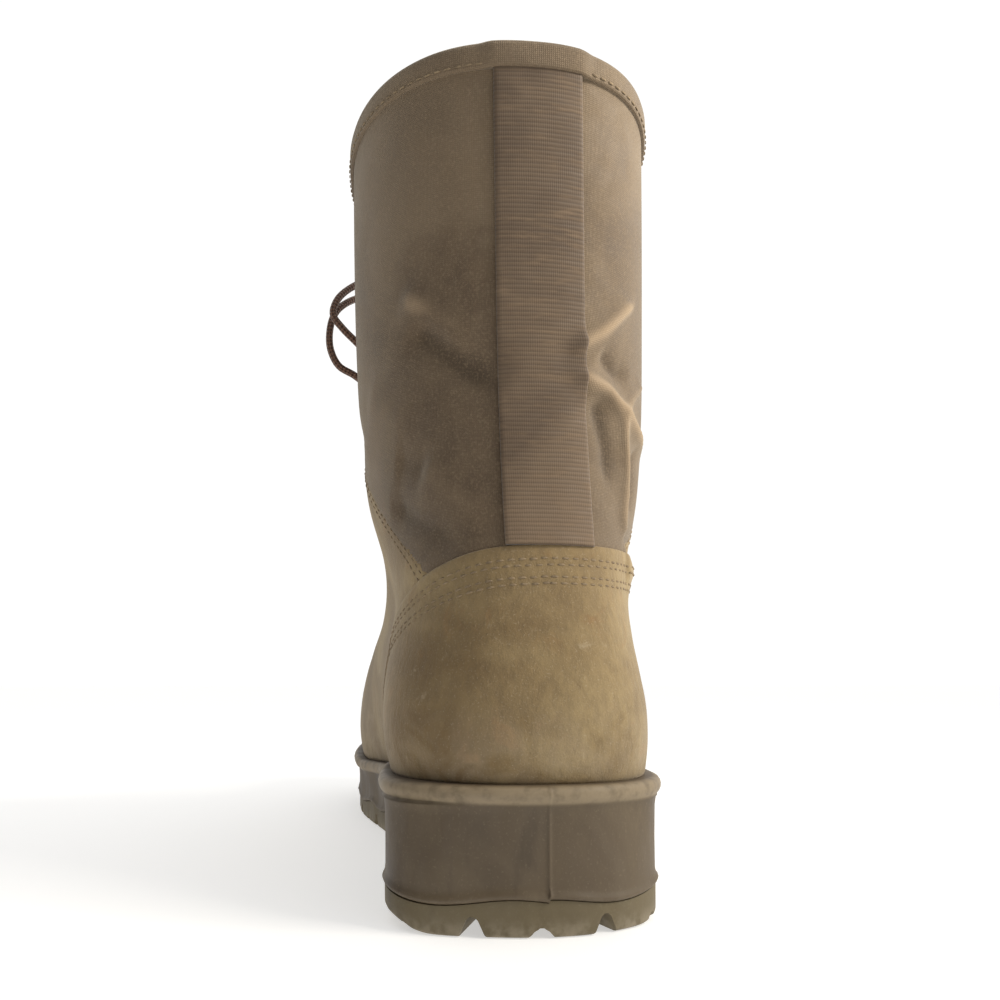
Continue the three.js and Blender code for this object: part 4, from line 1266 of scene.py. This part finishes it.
class Sole:
    """Midsole, outsole and insole, built on the outline of the last's seat."""

    # Wall of the midsole: margin beyond the feather line, base height and rise above it.
    WALL = (
        (-7.0, "line", 0.0), (0.6, "line", 0.0), (1.55, "line", 0.1), (2.15, "line", 0.5),
        (2.35, "line", 1.0), (2.2, "line", 1.5), (1.75, "line", 2.1), (1.5, "line", 2.9),
        (1.45, "line", 4.2), (1.5, "middle", 0.0), (1.75, "seat", -8.0), (2.1, "seat", -5.6),
        (2.5, "seat", -5.1), (3.2, "seat", -4.6), (3.85, "seat", -3.9), (4.25, "seat", -3.0),
        (4.35, "seat", -2.1), (4.15, "seat", -1.2), (3.6, "seat", -0.45), (2.9, "seat", -0.05),
        (2.2, "seat", 0.05), (-2.0, "seat", 0.0),
    )
    RIDGE_RISE = 0.9
    RIDGE_PITCH = 38.0
    LINE_BELOW_JOINT = 0.75
    GROOVE_PITCH = 17.0
    GROOVE_START = -2.0
    CHANNEL = (17.0, 22.0, 4.5)
    # The sole is squarer than the foot at the back: turn in degrees, spread and push of each corner.
    CORNERS = ((-25.0, 11.0, 6.5), (24.0, 10.0, 2.6), (0.0, 14.0, 1.3))
    BARS = (-125, -105, -85, 18, 38, 58, 78, 98)

    def __init__(self, last: Last, wardrobe: Wardrobe, repeater: Repeater) -> None:
        """Divides the outline evenly by length, from the heel seam round by the outer side."""
        self.last, self.wardrobe, self.repeater = last, wardrobe, repeater
        fine = np.linspace(0, 2 * np.pi, 6001)
        path = last.point(np.zeros_like(fine), fine)[:, :2]
        lengths = lengths_along(path)
        self.around = float(lengths[-1])
        half = float(np.interp(np.pi, fine, lengths))
        count = 240
        outer = np.linspace(0, half, count + 1)
        near_seam = np.array([0.25, 0.5, 0.8])
        outer = np.unique(np.concatenate([outer, near_seam]).round(6))
        # The inner side mirrors the outer one share by share, so that caps can run straight across.
        inner = self.around - (outer[1:-1] / half * (self.around - half))[::-1]
        self.lengths = np.concatenate([outer, inner])
        self.turns = np.interp(self.lengths, lengths, fine)

    def outline(self, margin: Array | float, turns: Array | None = None,
                square: float = 1.0) -> tuple[Array, Array]:
        """Level outline grown by a margin, its heel corners squared, and its outward directions."""
        turns = self.turns if turns is None else turns
        step = 0.02
        rows = np.zeros_like(turns)
        ahead = self.last.point(rows, turns + step) - self.last.point(rows, turns - step)
        out = unit(np.stack([ahead[:, 1], -ahead[:, 0], np.zeros_like(turns)], -1))
        degrees = np.degrees((turns + math.pi) % (2 * math.pi) - math.pi)
        push = sum(size * np.exp(-(((degrees - at) / wide) ** 2)) for at, wide, size in self.CORNERS)
        margins = np.broadcast_to(margin, turns.shape) + push * square
        return self.last.point(rows, turns) + out * margins[:, None], out

    def line(self, y: Array) -> Array:
        """Height of the wavy joint between outsole and midsole."""
        wave = self.RIDGE_RISE * np.cos(2 * np.pi * self.lengths / self.RIDGE_PITCH)
        return self.last.height("joint", y) - self.LINE_BELOW_JOINT + wave

    def _loop(self, margin: Array | float, heights: Callable[[Array], Array], square: float = 1.0) -> Array:
        """One loop of the outline with heights from the length."""
        points, _ = self.outline(margin, square=square)
        points[:, 2] = heights(points[:, 1])
        return points + AXES_SHIFT

    def _stack(self, name: str, loops: Sequence[Array], material: bpy.types.Material,
               worn: Sequence[float] = ()) -> bpy.types.Object:
        """A solid of stacked loops with straight strips as caps; `worn` marks the loops that get the painted
        highlight of the lip.
        """
        count = len(loops[0])
        faces = grid_faces(len(loops), count, wrap=True)
        top = (len(loops) - 1) * count
        half = count // 2
        for i in range(half):
            a, b, c, d = i, i + 1, (count - i) % count, count - i - 1
            low = [a, c, d, b] if i else [a, d, b]
            low = low if d != b else [a, c, b]
            faces.append(tuple(low))
            faces.append(tuple(top + k for k in reversed(low)))
        uv = grid_uv(np.stack(loops)).reshape(-1, 2)
        made = new_object(name, np.concatenate(loops), faces, uv, [material])
        if worn:
            keep_relief(made, np.repeat(worn, count))
        return made

    def midsole(self) -> bpy.types.Object:
        """The moulded midsole: ridge over the joint, plain wall, lip, and the mould's seam at the back."""
        from_seam = np.minimum(self.lengths, self.around - self.lengths)
        flash = 0.32 * np.exp(-((from_seam / 0.45) ** 2))
        loops = []
        for margin, base, rise in self.WALL:

            def heights(y: Array, base: str = base, rise: float = rise) -> Array:
                line, seat = self.line(y), self.last.height("seat", y)
                middle = (line + 4.2) * 0.5 + (seat - 8.0) * 0.5
                return {"line": line, "middle": middle, "seat": seat}[base] + rise

            lip = base == "seat" and rise > -5.0
            square = 0.25 if base == "seat" and margin < 3.0 and rise > -1.0 else (0.55 if lip else 0.9)
            grown = margin + (0.0 if margin < 0 else flash * (0.4 if lip else 1.0))
            loops.append(self._loop(grown, heights, square))
        # Share of the painted highlight along the outer lip for each loop, which the finish reads as
        # "relief".
        worn = [max(0.0, (margin - 2.0) / 2.3) if base != "middle" else 0.0 for margin, base, _ in self.WALL]
        piece = self._stack("midsole_wall", loops, self.wardrobe.wall, worn)
        return fitted_out(piece, "midsole", "midsole")

    def _worn_edge(self) -> Array:
        """How high the tread's edge is rounded at each place; most at the heel's back corners."""
        x, y = self.outline(0.0)[0][:, :2].T
        inner = 3.2 * np.exp(-(((x + 40) / 6) ** 2) - (((y + 128) / 26) ** 2))
        outer = 2.2 * np.exp(-(((x - 37) / 6) ** 2) - (((y + 128) / 26) ** 2))
        toe = 1.2 * smooth(95, 140, y)
        return 0.9 + inner + outer + toe

    def _groove_shape(self, depth: float) -> bpy.types.Object:
        """A cutter along X with a rounded root, its mouth at height 0."""
        wide, root = 3.6, 1.15
        slope = (wide - root) / depth
        right = ((wide + slope * 2, -2), (root + slope * 0.9, depth - 0.9), (root - 0.15, depth - 0.35),
                 (root - 0.65, depth))
        section = ((-right[0][0], -2), *right, *((-y, z) for y, z in right[:0:-1]))
        points = [(x, y, z) for x in (0, 23) for y, z in section]
        n = len(section)
        faces = [(j, (j + 1) % n, n + (j + 1) % n, n + j) for j in range(n)]
        faces += [tuple(range(n))[::-1], tuple(range(n, 2 * n))]
        return new_object("groove_shape", points, faces)

    def _grooves(self, deep: bool) -> bpy.types.Object:
        """Cutters for every second groove round the edge."""
        count = int(self.around // self.GROOVE_PITCH)
        first = -(count // 2)
        places = []
        for k in range(first, first + count):
            if (k % 2 == 1) == deep:
                places.append((self.GROOVE_START + k * self.GROOVE_PITCH) % self.around)
        turns = np.interp(places, np.append(self.lengths, self.around), np.append(self.turns, 2 * np.pi))
        points, out = self.outline(0.9 + 4.0, turns)
        y = self.outline(0.0, turns)[0][:, 1]
        keep = (y < -76) | (y > 6)
        points[:, 2] = self.last.height("tread", y)
        shape = self._groove_shape(5.3 if deep else 2.7)
        # The cutters follow the toe spring, so each stays open along its whole length.
        slope = (self.last.height("tread", y + 2) - self.last.height("tread", y - 2)) / 4
        slope = np.where(y > 90, slope, 0.0)
        inward = unit(np.stack([-out[:, 0], -out[:, 1], -out[:, 1] * slope], -1))
        up = unit(np.stack([np.zeros_like(y), -slope, np.ones_like(y)], -1))
        return self.repeater.repeat(
            "groove_cutters", shape, points[keep] + AXES_SHIFT, inward[keep], up[keep], self.wardrobe.tread)

    def _channel(self) -> bpy.types.Object:
        """Cutter for the channel behind the edge lugs."""
        wide, narrow, depth = self.CHANNEL
        loops = [self._loop(-margin, lambda y, rise=rise: self.last.height("tread", y) + rise)
                 for margin, rise in ((wide, -2.0), (wide, depth), (narrow, depth), (narrow, -2.0))]
        loops = [loop[::4] for loop in loops]
        count = len(loops[0])
        faces = grid_faces(4, count, wrap=True)
        faces += [(3 * count + j, 3 * count + (j + 1) % count, (j + 1) % count, j) for j in range(count)]
        return new_object("channel_cutter", np.concatenate(loops), faces)

    def _bars(self) -> bpy.types.Object:
        """Cutters across the middle of heel and forefoot."""
        shape = self._groove_shape(self.CHANNEL[2])
        shape.data.transform(Matrix.Diagonal((2.1, 0.75, 1.0, 1.0)))
        y = np.array(self.BARS, float)
        places = np.stack([np.full_like(y, -25.0), y, self.last.height("tread", y)], -1) + AXES_SHIFT
        along = np.broadcast_to([1.0, 0.0, 0.0], places.shape)
        up = np.broadcast_to([0.0, 0.0, 1.0], places.shape)
        return self.repeater.repeat("bar_cutters", shape, places, along, up, self.wardrobe.tread)

    def outsole(self) -> bpy.types.Object:
        """The lugged outsole."""
        worn = self._worn_edge()
        loops = []
        for inward, share in ((10.0, 0.0), (6.0, 0.12), (3.4, 0.36), (1.6, 0.66), (0.5, 0.88), (0.0, 1.1)):
            scale = np.clip(worn / 4.8, 0.16, 1.0)
            rise = worn * share
            loops.append(self._loop(1.2 - inward * scale,
                                    lambda y, rise=rise: self.last.height("tread", y) + rise))
        loops.append(self._loop(1.3, lambda y: self.line(y) - 0.9))
        loops.append(self._loop(1.25, lambda y: self.line(y) - 0.2))
        loops.append(self._loop(0.7, lambda y: self.line(y) - 0.08))
        piece = self._stack("outsole_lugs", loops, self.wardrobe.tread)
        for cutter in (self._grooves(True), self._grooves(False), self._channel(), self._bars()):
            carve(piece, cutter)
        piece.data.set_sharp_from_angle(angle=math.radians(32))
        return fitted_out(piece, "outsole", "outsole")

    def insole(self) -> bpy.types.Object:
        """The loose insole inside, its edges rounded."""
        loops = [self._loop(-2.8 - inset, lambda y, rise=rise: self.last.height("seat", y) + rise, 0.0)
                 for inset, rise in ((1.0, 0.3), (0.2, 0.6), (0.0, 1.5), (0.0, 3.6), (0.3, 4.4), (1.0, 4.75),
                                     (2.5, 4.9))]
        return fitted_out(self._stack("insole_footbed", loops, self.wardrobe.footbed), "insole", "insole")


def carve(piece: bpy.types.Object, cutter: bpy.types.Object) -> None:
    """Cuts one object out of another for good and removes the cutter."""
    modifier = piece.modifiers.new("cut", "BOOLEAN")
    modifier.operation, modifier.solver, modifier.object = "DIFFERENCE", "EXACT", cutter
    modifier.use_self = True
    mesh = finished_mesh(piece, piece.name)
    old, piece.data = piece.data, mesh
    discard(cutter)
    bpy.data.meshes.remove(old)


# ------------------------------------------------------------------ lace


class Lace:
    """The lace: strands through the eyelets, the knot, two loops and two ends."""

    DIAMETER = 3.0
    KNOT_ROW = 10.85
    KNOT_LIFT = 7.0
    TIP_GAP = 0.6
    # Free stretches, as points from the knot's own centre.
    LOOP_INNER = (
        (-5.6, 5, 2.6), (-20, 12, 5), (-36, 10, 2), (-49, 2, -7), (-55.8, -5, -17), (-57, -7, -24),
        (-53, -8, -30), (-46.6, -7, -36), (-40, -4, -42), (-33, 0, -47), (-26, 3.5, -50),
        (-22, 4, -55.5), (-25.5, 4, -60.5), (-33, 1, -59), (-41, -1, -53), (-48, -2, -48),
        (-54.5, -3, -44.5), (-58.2, -3, -37), (-58.4, -2, -27.5), (-56, 1, -19), (-48, 10, -9),
        (-36, 17, -3.5), (-21, 17, -2), (-6.4, 5, -2.8))
    LOOP_OUTER = (
        (5.6, 5, 2.6), (18, 12, 4), (32, 12, 0), (43, 6, -9), (49, 0, -21), (49, -2, -33), (43, 1, -43),
        (34, 6, -46), (27, 11, -39), (22, 15, -26), (15, 14, -12), (6.4, 5, -2.8))
    END_INNER = ((-3.2, 5, -5), (-6, 7, -13), (-8, 5.5, -27), (-9, 6.5, -41), (-9, 9.5, -56), (-8, 14, -69),
                 (-6, 20.5, -80))
    END_OUTER = ((3.2, 5, -5), (8, 7, -13), (13, 5.5, -26), (16, 6, -40), (17, 9, -55), (16, 13.5, -68),
                 (13.5, 19.5, -78))
    # The plastic tip: places along it and its radius there.
    TIP = ((0, 1.45), (0.3, 1.6), (1.0, 1.65), (4, 1.62), (8, 1.6), (12, 1.58), (13.2, 1.45), (13.8, 1.15))

    def __init__(self, last: Last, pattern: Pattern, wardrobe: Wardrobe) -> None:
        """Finds the knot's place over the top of the throat."""
        self.last, self.pattern, self.wardrobe = last, pattern, wardrobe
        self.knot_centre = last.surface(np.array([self.KNOT_ROW]), np.array([math.pi]), self.KNOT_LIFT)[0]

    def free_stretches(self) -> None:
        """The two loops of the bow and the two ends with their tips; the length of each stretch is logged."""
        for name, points in (("inner", self.LOOP_INNER), ("outer", self.LOOP_OUTER)):
            piece, path = self._stretch(f"lace_bow_loop_{name}", points)
            fitted_out(piece, "lace", f"lace_loop_{name}")
            self._declare(piece, path)
        for name, points in (("inner", self.END_INNER), ("outer", self.END_OUTER)):
            piece, path = self._stretch(f"lace_free_end_{name}", points)
            fitted_out(piece, "lace", f"lace_end_{name}")
            direction = unit(path[-1] - path[-2])
            start = path[-1] + direction * self.TIP_GAP
            along, radii = np.array(self.TIP).T
            tip = tube(f"lace_sleeve_{name}", start + along[:, None] * direction, radii, 20,
                       self.wardrobe.tip)
            fitted_out(tip, "lace_tip", f"lace_tip_{name}")
            self._declare(piece, path)

    def _stretch(self, name: str, points: Sequence[Sequence[float]]) -> tuple[bpy.types.Object, Array]:
        """A tube along one free stretch, and its centre line in millimetres."""
        path = curve_through([np.add(p, self.knot_centre) for p in points], 1.4)
        return tube(name, path, self.DIAMETER / 2, 14, self.wardrobe.lace), path

    def _declare(self, piece: bpy.types.Object, path: Array) -> None:
        """Logs a free stretch's own measured length."""
        length = float(lengths_along(path)[-1]) * MM
        LOG.info("%s: %.0f mm", piece.name, length / MM)

    def _at(self, row: float, side: Side | None, gap: float, lift: float) -> Array:
        """A point at a level distance from the front line."""
        turn = math.pi if side is None else float(self.pattern.across(row, side, gap))
        return self.last.surface(np.array([row]), np.array([turn]), lift)[0]

    def _strand(self, start: Side) -> list[Array]:
        """Points of one strand from the middle of the lowest bar up to the knot."""
        rows = np.linspace(self.pattern.first_eyelet, self.pattern.last_eyelet, self.pattern.eyelet_pairs)
        side = start
        hole = self.pattern.throat_half(rows[0]) + self.pattern.eyelet_inset
        points = [self._at(rows[0], None, 0, 4.4)]
        points += [self._at(rows[0], side, gap, lift)
                   for gap, lift in ((hole * 0.55, 4.2), (hole - 2.5, 3.8), (hole, 1.4), (hole - 1.0, -3.4))]
        for k in range(1, len(rows)):
            low, high = rows[k - 1], rows[k]
            over = (k % 2 == 0) == (start is Side.OUTER)
            half_low, half_high = self.pattern.throat_half(low), self.pattern.throat_half(high)
            step = high - low
            if k > 1:
                points.append(self._at(low + step * 0.22, side, half_low + 1.5, 3.4))
            else:
                points.append(self._at(low + step * 0.22, side, half_low + 1.0, -3.6))
            points.append(self._at(low + step * 0.5, None, 0, 1.9 if over else -0.9))
            side = Side.INNER if side is Side.OUTER else Side.OUTER
            points.append(self._at(high - step * 0.2, side, half_high + 1.0, -3.6))
            inset = half_high + self.pattern.eyelet_inset
            points.append(self._at(high - step * 0.04, side, inset - 1.2, -3.4))
            points.append(self._at(high, side, inset, 1.2))
            points.append(self._at(high + step * 0.05, side, inset - 2.0, 3.7))
        near = self.knot_centre + np.array([side.value * 4.5, -0.5, -1.0])
        lead = self._at(10.75, side, self.pattern.throat_half(10.75) + 2.0, 5.4)
        return points + [lead, near]

    def strands(self) -> bpy.types.Object:
        """Both strands through the eyelets as one piece."""
        tubes = []
        for start in Side:
            path = curve_through(self._strand(start), 1.3)
            name = f"strand_{start.name.lower()}"
            tubes.append(tube(name, path, self.DIAMETER / 2, 12, self.wardrobe.lace))
        piece = joined("lace_through_eyelets", tubes)
        return fitted_out(piece, "lace", "lace_crossings")

    def knot(self) -> bpy.types.Object:
        """The bow's knot: a wrapped turn over the crossing."""
        t = np.linspace(0, 2 * np.pi, 140)
        wrap = np.stack([(np.sin(t) + 2 * np.sin(2 * t)) * 2.05, -np.sin(3 * t) * 2.3,
                         (np.cos(t) - 2 * np.cos(2 * t)) * 1.7], -1)
        piece = tube("lace_bow_knot", wrap + self.knot_centre, 1.75, 14, self.wardrobe.lace)
        return fitted_out(piece, "lace", "lace_knot")


def joined(name: str, parts: Sequence[bpy.types.Object]) -> bpy.types.Object:
    """Joins mesh objects of one finish into one."""
    points, faces, uv = [], [], []
    start = 0
    for part in parts:
        mesh = part.data
        co = np.empty(len(mesh.vertices) * 3, dtype=np.float32)
        mesh.vertices.foreach_get("co", co)
        points.append(co.reshape(-1, 3) / MM)
        pairs = np.zeros((len(mesh.vertices), 2))
        layer = mesh.uv_layers[0].data
        for loop in mesh.loops:
            pairs[loop.vertex_index] = layer[loop.index].uv
        uv.append(pairs)
        faces += [tuple(start + v for v in face.vertices) for face in mesh.polygons]
        start += len(mesh.vertices)
    material = parts[0].data.materials[0]
    discard(*parts)
    return new_object(name, np.concatenate(points), faces, np.concatenate(uv), [material])


# ------------------------------------------------------------------ studio


@dataclass(frozen=True)
class Studio:
    """Pale floor, soft light from the right and the camera behind the heel."""

    FLOOR_REACH: ClassVar[float] = 4000.0

    camera_place: Place = (-0.0528, -0.3738, 0.068)
    pitch: float = 5.0
    turn_right: float = 6.0
    lens: float = 31.0
    shift: tuple[float, float] = (0.053, 0.097)
    pale: Colour = (0.68, 0.68, 0.675)
    dim: float = 0.14
    bright: float = 1.05

    def camera(self) -> None:
        """Places the camera."""
        data = bpy.data.cameras.new("camera")
        data.lens, data.sensor_width = self.lens, 36.0
        data.shift_x, data.shift_y = self.shift
        data.clip_start = 0.01
        made = in_scene("camera", data)
        made.location = self.camera_place
        made.rotation_euler = (math.radians(90 + self.pitch), 0, -math.radians(self.turn_right))
        bpy.context.scene.camera = made

    def build(self) -> None:
        """Floor, lights and surroundings."""
        s = Shader("studio_floor")
        s.surface.inputs["Emission Color"].default_value = (1.0, 0.995, 0.985, 1.0)
        s.surface.inputs["Emission Strength"].default_value = 0.5
        material = s.done(self.pale, 0.9, specular=0.1)
        reach = self.FLOOR_REACH
        corners = [(-reach, -reach, 0), (reach, -reach, 0), (reach, reach, 0), (-reach, reach, 0)]
        floor = new_object("studio_floor", corners, [(0, 1, 2, 3)], None, [material])
        world = bpy.data.worlds.new("studio")
        world.use_nodes = True
        nodes, links = world.node_tree.nodes, world.node_tree.links
        background = nodes["Background"]
        background.inputs["Color"].default_value = (1.0, 0.995, 0.985, 1.0)
        # The surroundings are darker to the left of the heel, as in a room lit from one side.
        coords, split = nodes.new("ShaderNodeTexCoord"), nodes.new("ShaderNodeSeparateXYZ")
        fade = nodes.new("ShaderNodeMapRange")
        fade.interpolation_type = "SMOOTHSTEP"
        lean, total = nodes.new("ShaderNodeMath"), nodes.new("ShaderNodeMath")
        lean.operation, total.operation = "MULTIPLY", "ADD"
        lean.inputs[1].default_value = 0.9
        for start, end in (
                (coords.outputs["Generated"], split.inputs[0]), (split.outputs["Y"], lean.inputs[0]),
                (lean.outputs[0], total.inputs[0]), (split.outputs["X"], total.inputs[1]),
                (total.outputs[0], fade.inputs["Value"]),
                (fade.outputs["Result"], background.inputs["Strength"])):
            links.new(start, end)
        limits = {"From Min": -1.1, "From Max": 0.5, "To Min": self.dim, "To Max": self.bright}
        for name, value in limits.items():
            fade.inputs[name].default_value = value
        bpy.context.scene.world = world
        key = self._light("key", "AREA", (0.62, -0.42, 0.62), (0.0, 0.0, 0.1), 4.5, (1.0, 0.94, 0.84))
        key.size = 0.3
        # A soft-edged beam that fades out below the shaft.
        beam = self._light("shaft_beam", "SPOT", (0.66, -0.3, 0.5), (0.05, -0.07, 0.235), 30.0,
                           (1.0, 0.93, 0.82))
        beam.spot_size, beam.spot_blend, beam.shadow_soft_size = math.radians(25.0), 1.0, 0.08
        bpy.context.scene.view_settings.view_transform = "Standard"

    def _light(self, name: str, kind: str, place: Place, aim: Place, power: float,
               colour: Colour) -> bpy.types.Light:
        """One light at a place, turned to what it lights."""
        data = bpy.data.lights.new(name, kind)
        data.energy, data.color = power, colour
        made = in_scene(name, data)
        made.location = place
        made.rotation_euler = (Vector(aim) - Vector(place)).to_track_quat("-Z", "Y").to_euler()
        return data


FOLDS = (
    # Back of the shaft, outer side: two ridges that start at the webbing, one that meets them from
    # the side, the long one down to the counter, and the hollows between them.
    Fold(((7, 157), (13.5, 162), (19, 165.2), (24.5, 169), (34, 176), (46, 183)), 2.2, 2.6, 0.8),
    Fold(((6, 153.5), (13.5, 152.2), (19, 151), (23, 150), (27.5, 147.5), (32.5, 145.5), (39, 142.5),
          (47, 140), (58, 137)), 2.3, 3.3, 0.5),
    Fold(((50, 159), (44.5, 154.7), (38.5, 151), (34.5, 147.7), (31, 145)), 1.3, 2.1),
    Fold(((31, 149), (31.8, 138), (32.5, 130.4), (32, 121), (31.5, 115), (33.5, 110.6), (42, 104)), 1.9, 2.1),
    Fold(((17, 149), (20, 141), (23, 132), (23.5, 118)), -2.3, 4.2),
    Fold(((19, 161), (28, 156), (38, 158)), -1.7, 3.3),
    Fold(((43, 139), (42, 128), (40, 113)), -1.7, 3.6),
    # Inner side: a light ridge over a dark trough, and the wedge over the counter.
    Fold(((-42, 180), (-30, 172), (-10, 157)), 1.7, 4.2),
    Fold(((-38, 170), (-25, 161), (-5, 146)), -2.6, 5.0),
    Fold(((-34, 130), (-22, 118), (-10, 108)), 1.0, 6.5),
    Fold(((-52, 121), (-17, 102)), -2.6, 4.6),
    Fold(((-64, 156), (-34, 137)), 0.9, 8.0),
    Fold(((-46, 132), (-30, 126)), -1.4, 6.0),
    # Bulge of the counter's top on the outer side and the pinch over it.
    Fold(((34, 99), (48, 99)), 1.6, 4.6),
    Fold(((32, 109), (54, 107)), -1.8, 3.2),
    # Front of the ankle and the vamp, out of the heel's view: soft walking creases.
    Fold(((70, 150), (100, 138), (125, 128)), -2.2, 5.5),
    Fold(((-70, 150), (-100, 138), (-125, 128)), -2.2, 5.5),
    Fold(((120, 88), (150, 84), (180, 82), (210, 84), (240, 88)), -1.6, 4.5),
    Fold(((118, 74), (150, 76), (180, 75), (210, 76), (242, 74)), 1.2, 4.5),
)


def main() -> None:
    """Builds the boot in order."""
    logging.basicConfig(level=logging.INFO, format="%(message)s")
    studio = Studio()
    studio.camera()
    last = Last(FOLDS)
    pattern = Pattern(last)
    wardrobe = Wardrobe()
    repeater = Repeater()
    lace = Lace(last, pattern, wardrobe)
    lace.free_stretches()
    upper = Upper(last, pattern, wardrobe, repeater)
    for step in (upper.shell, upper.suede, upper.counter, upper.webbing, upper.facings, upper.binding,
                 upper.tongue, upper.sewing, upper.eyelets):
        step()
    lace.strands()
    lace.knot()
    sole = Sole(last, wardrobe, repeater)
    sole.midsole()
    sole.outsole()
    sole.insole()
    studio.build()


if __name__ == "__main__":
    main()
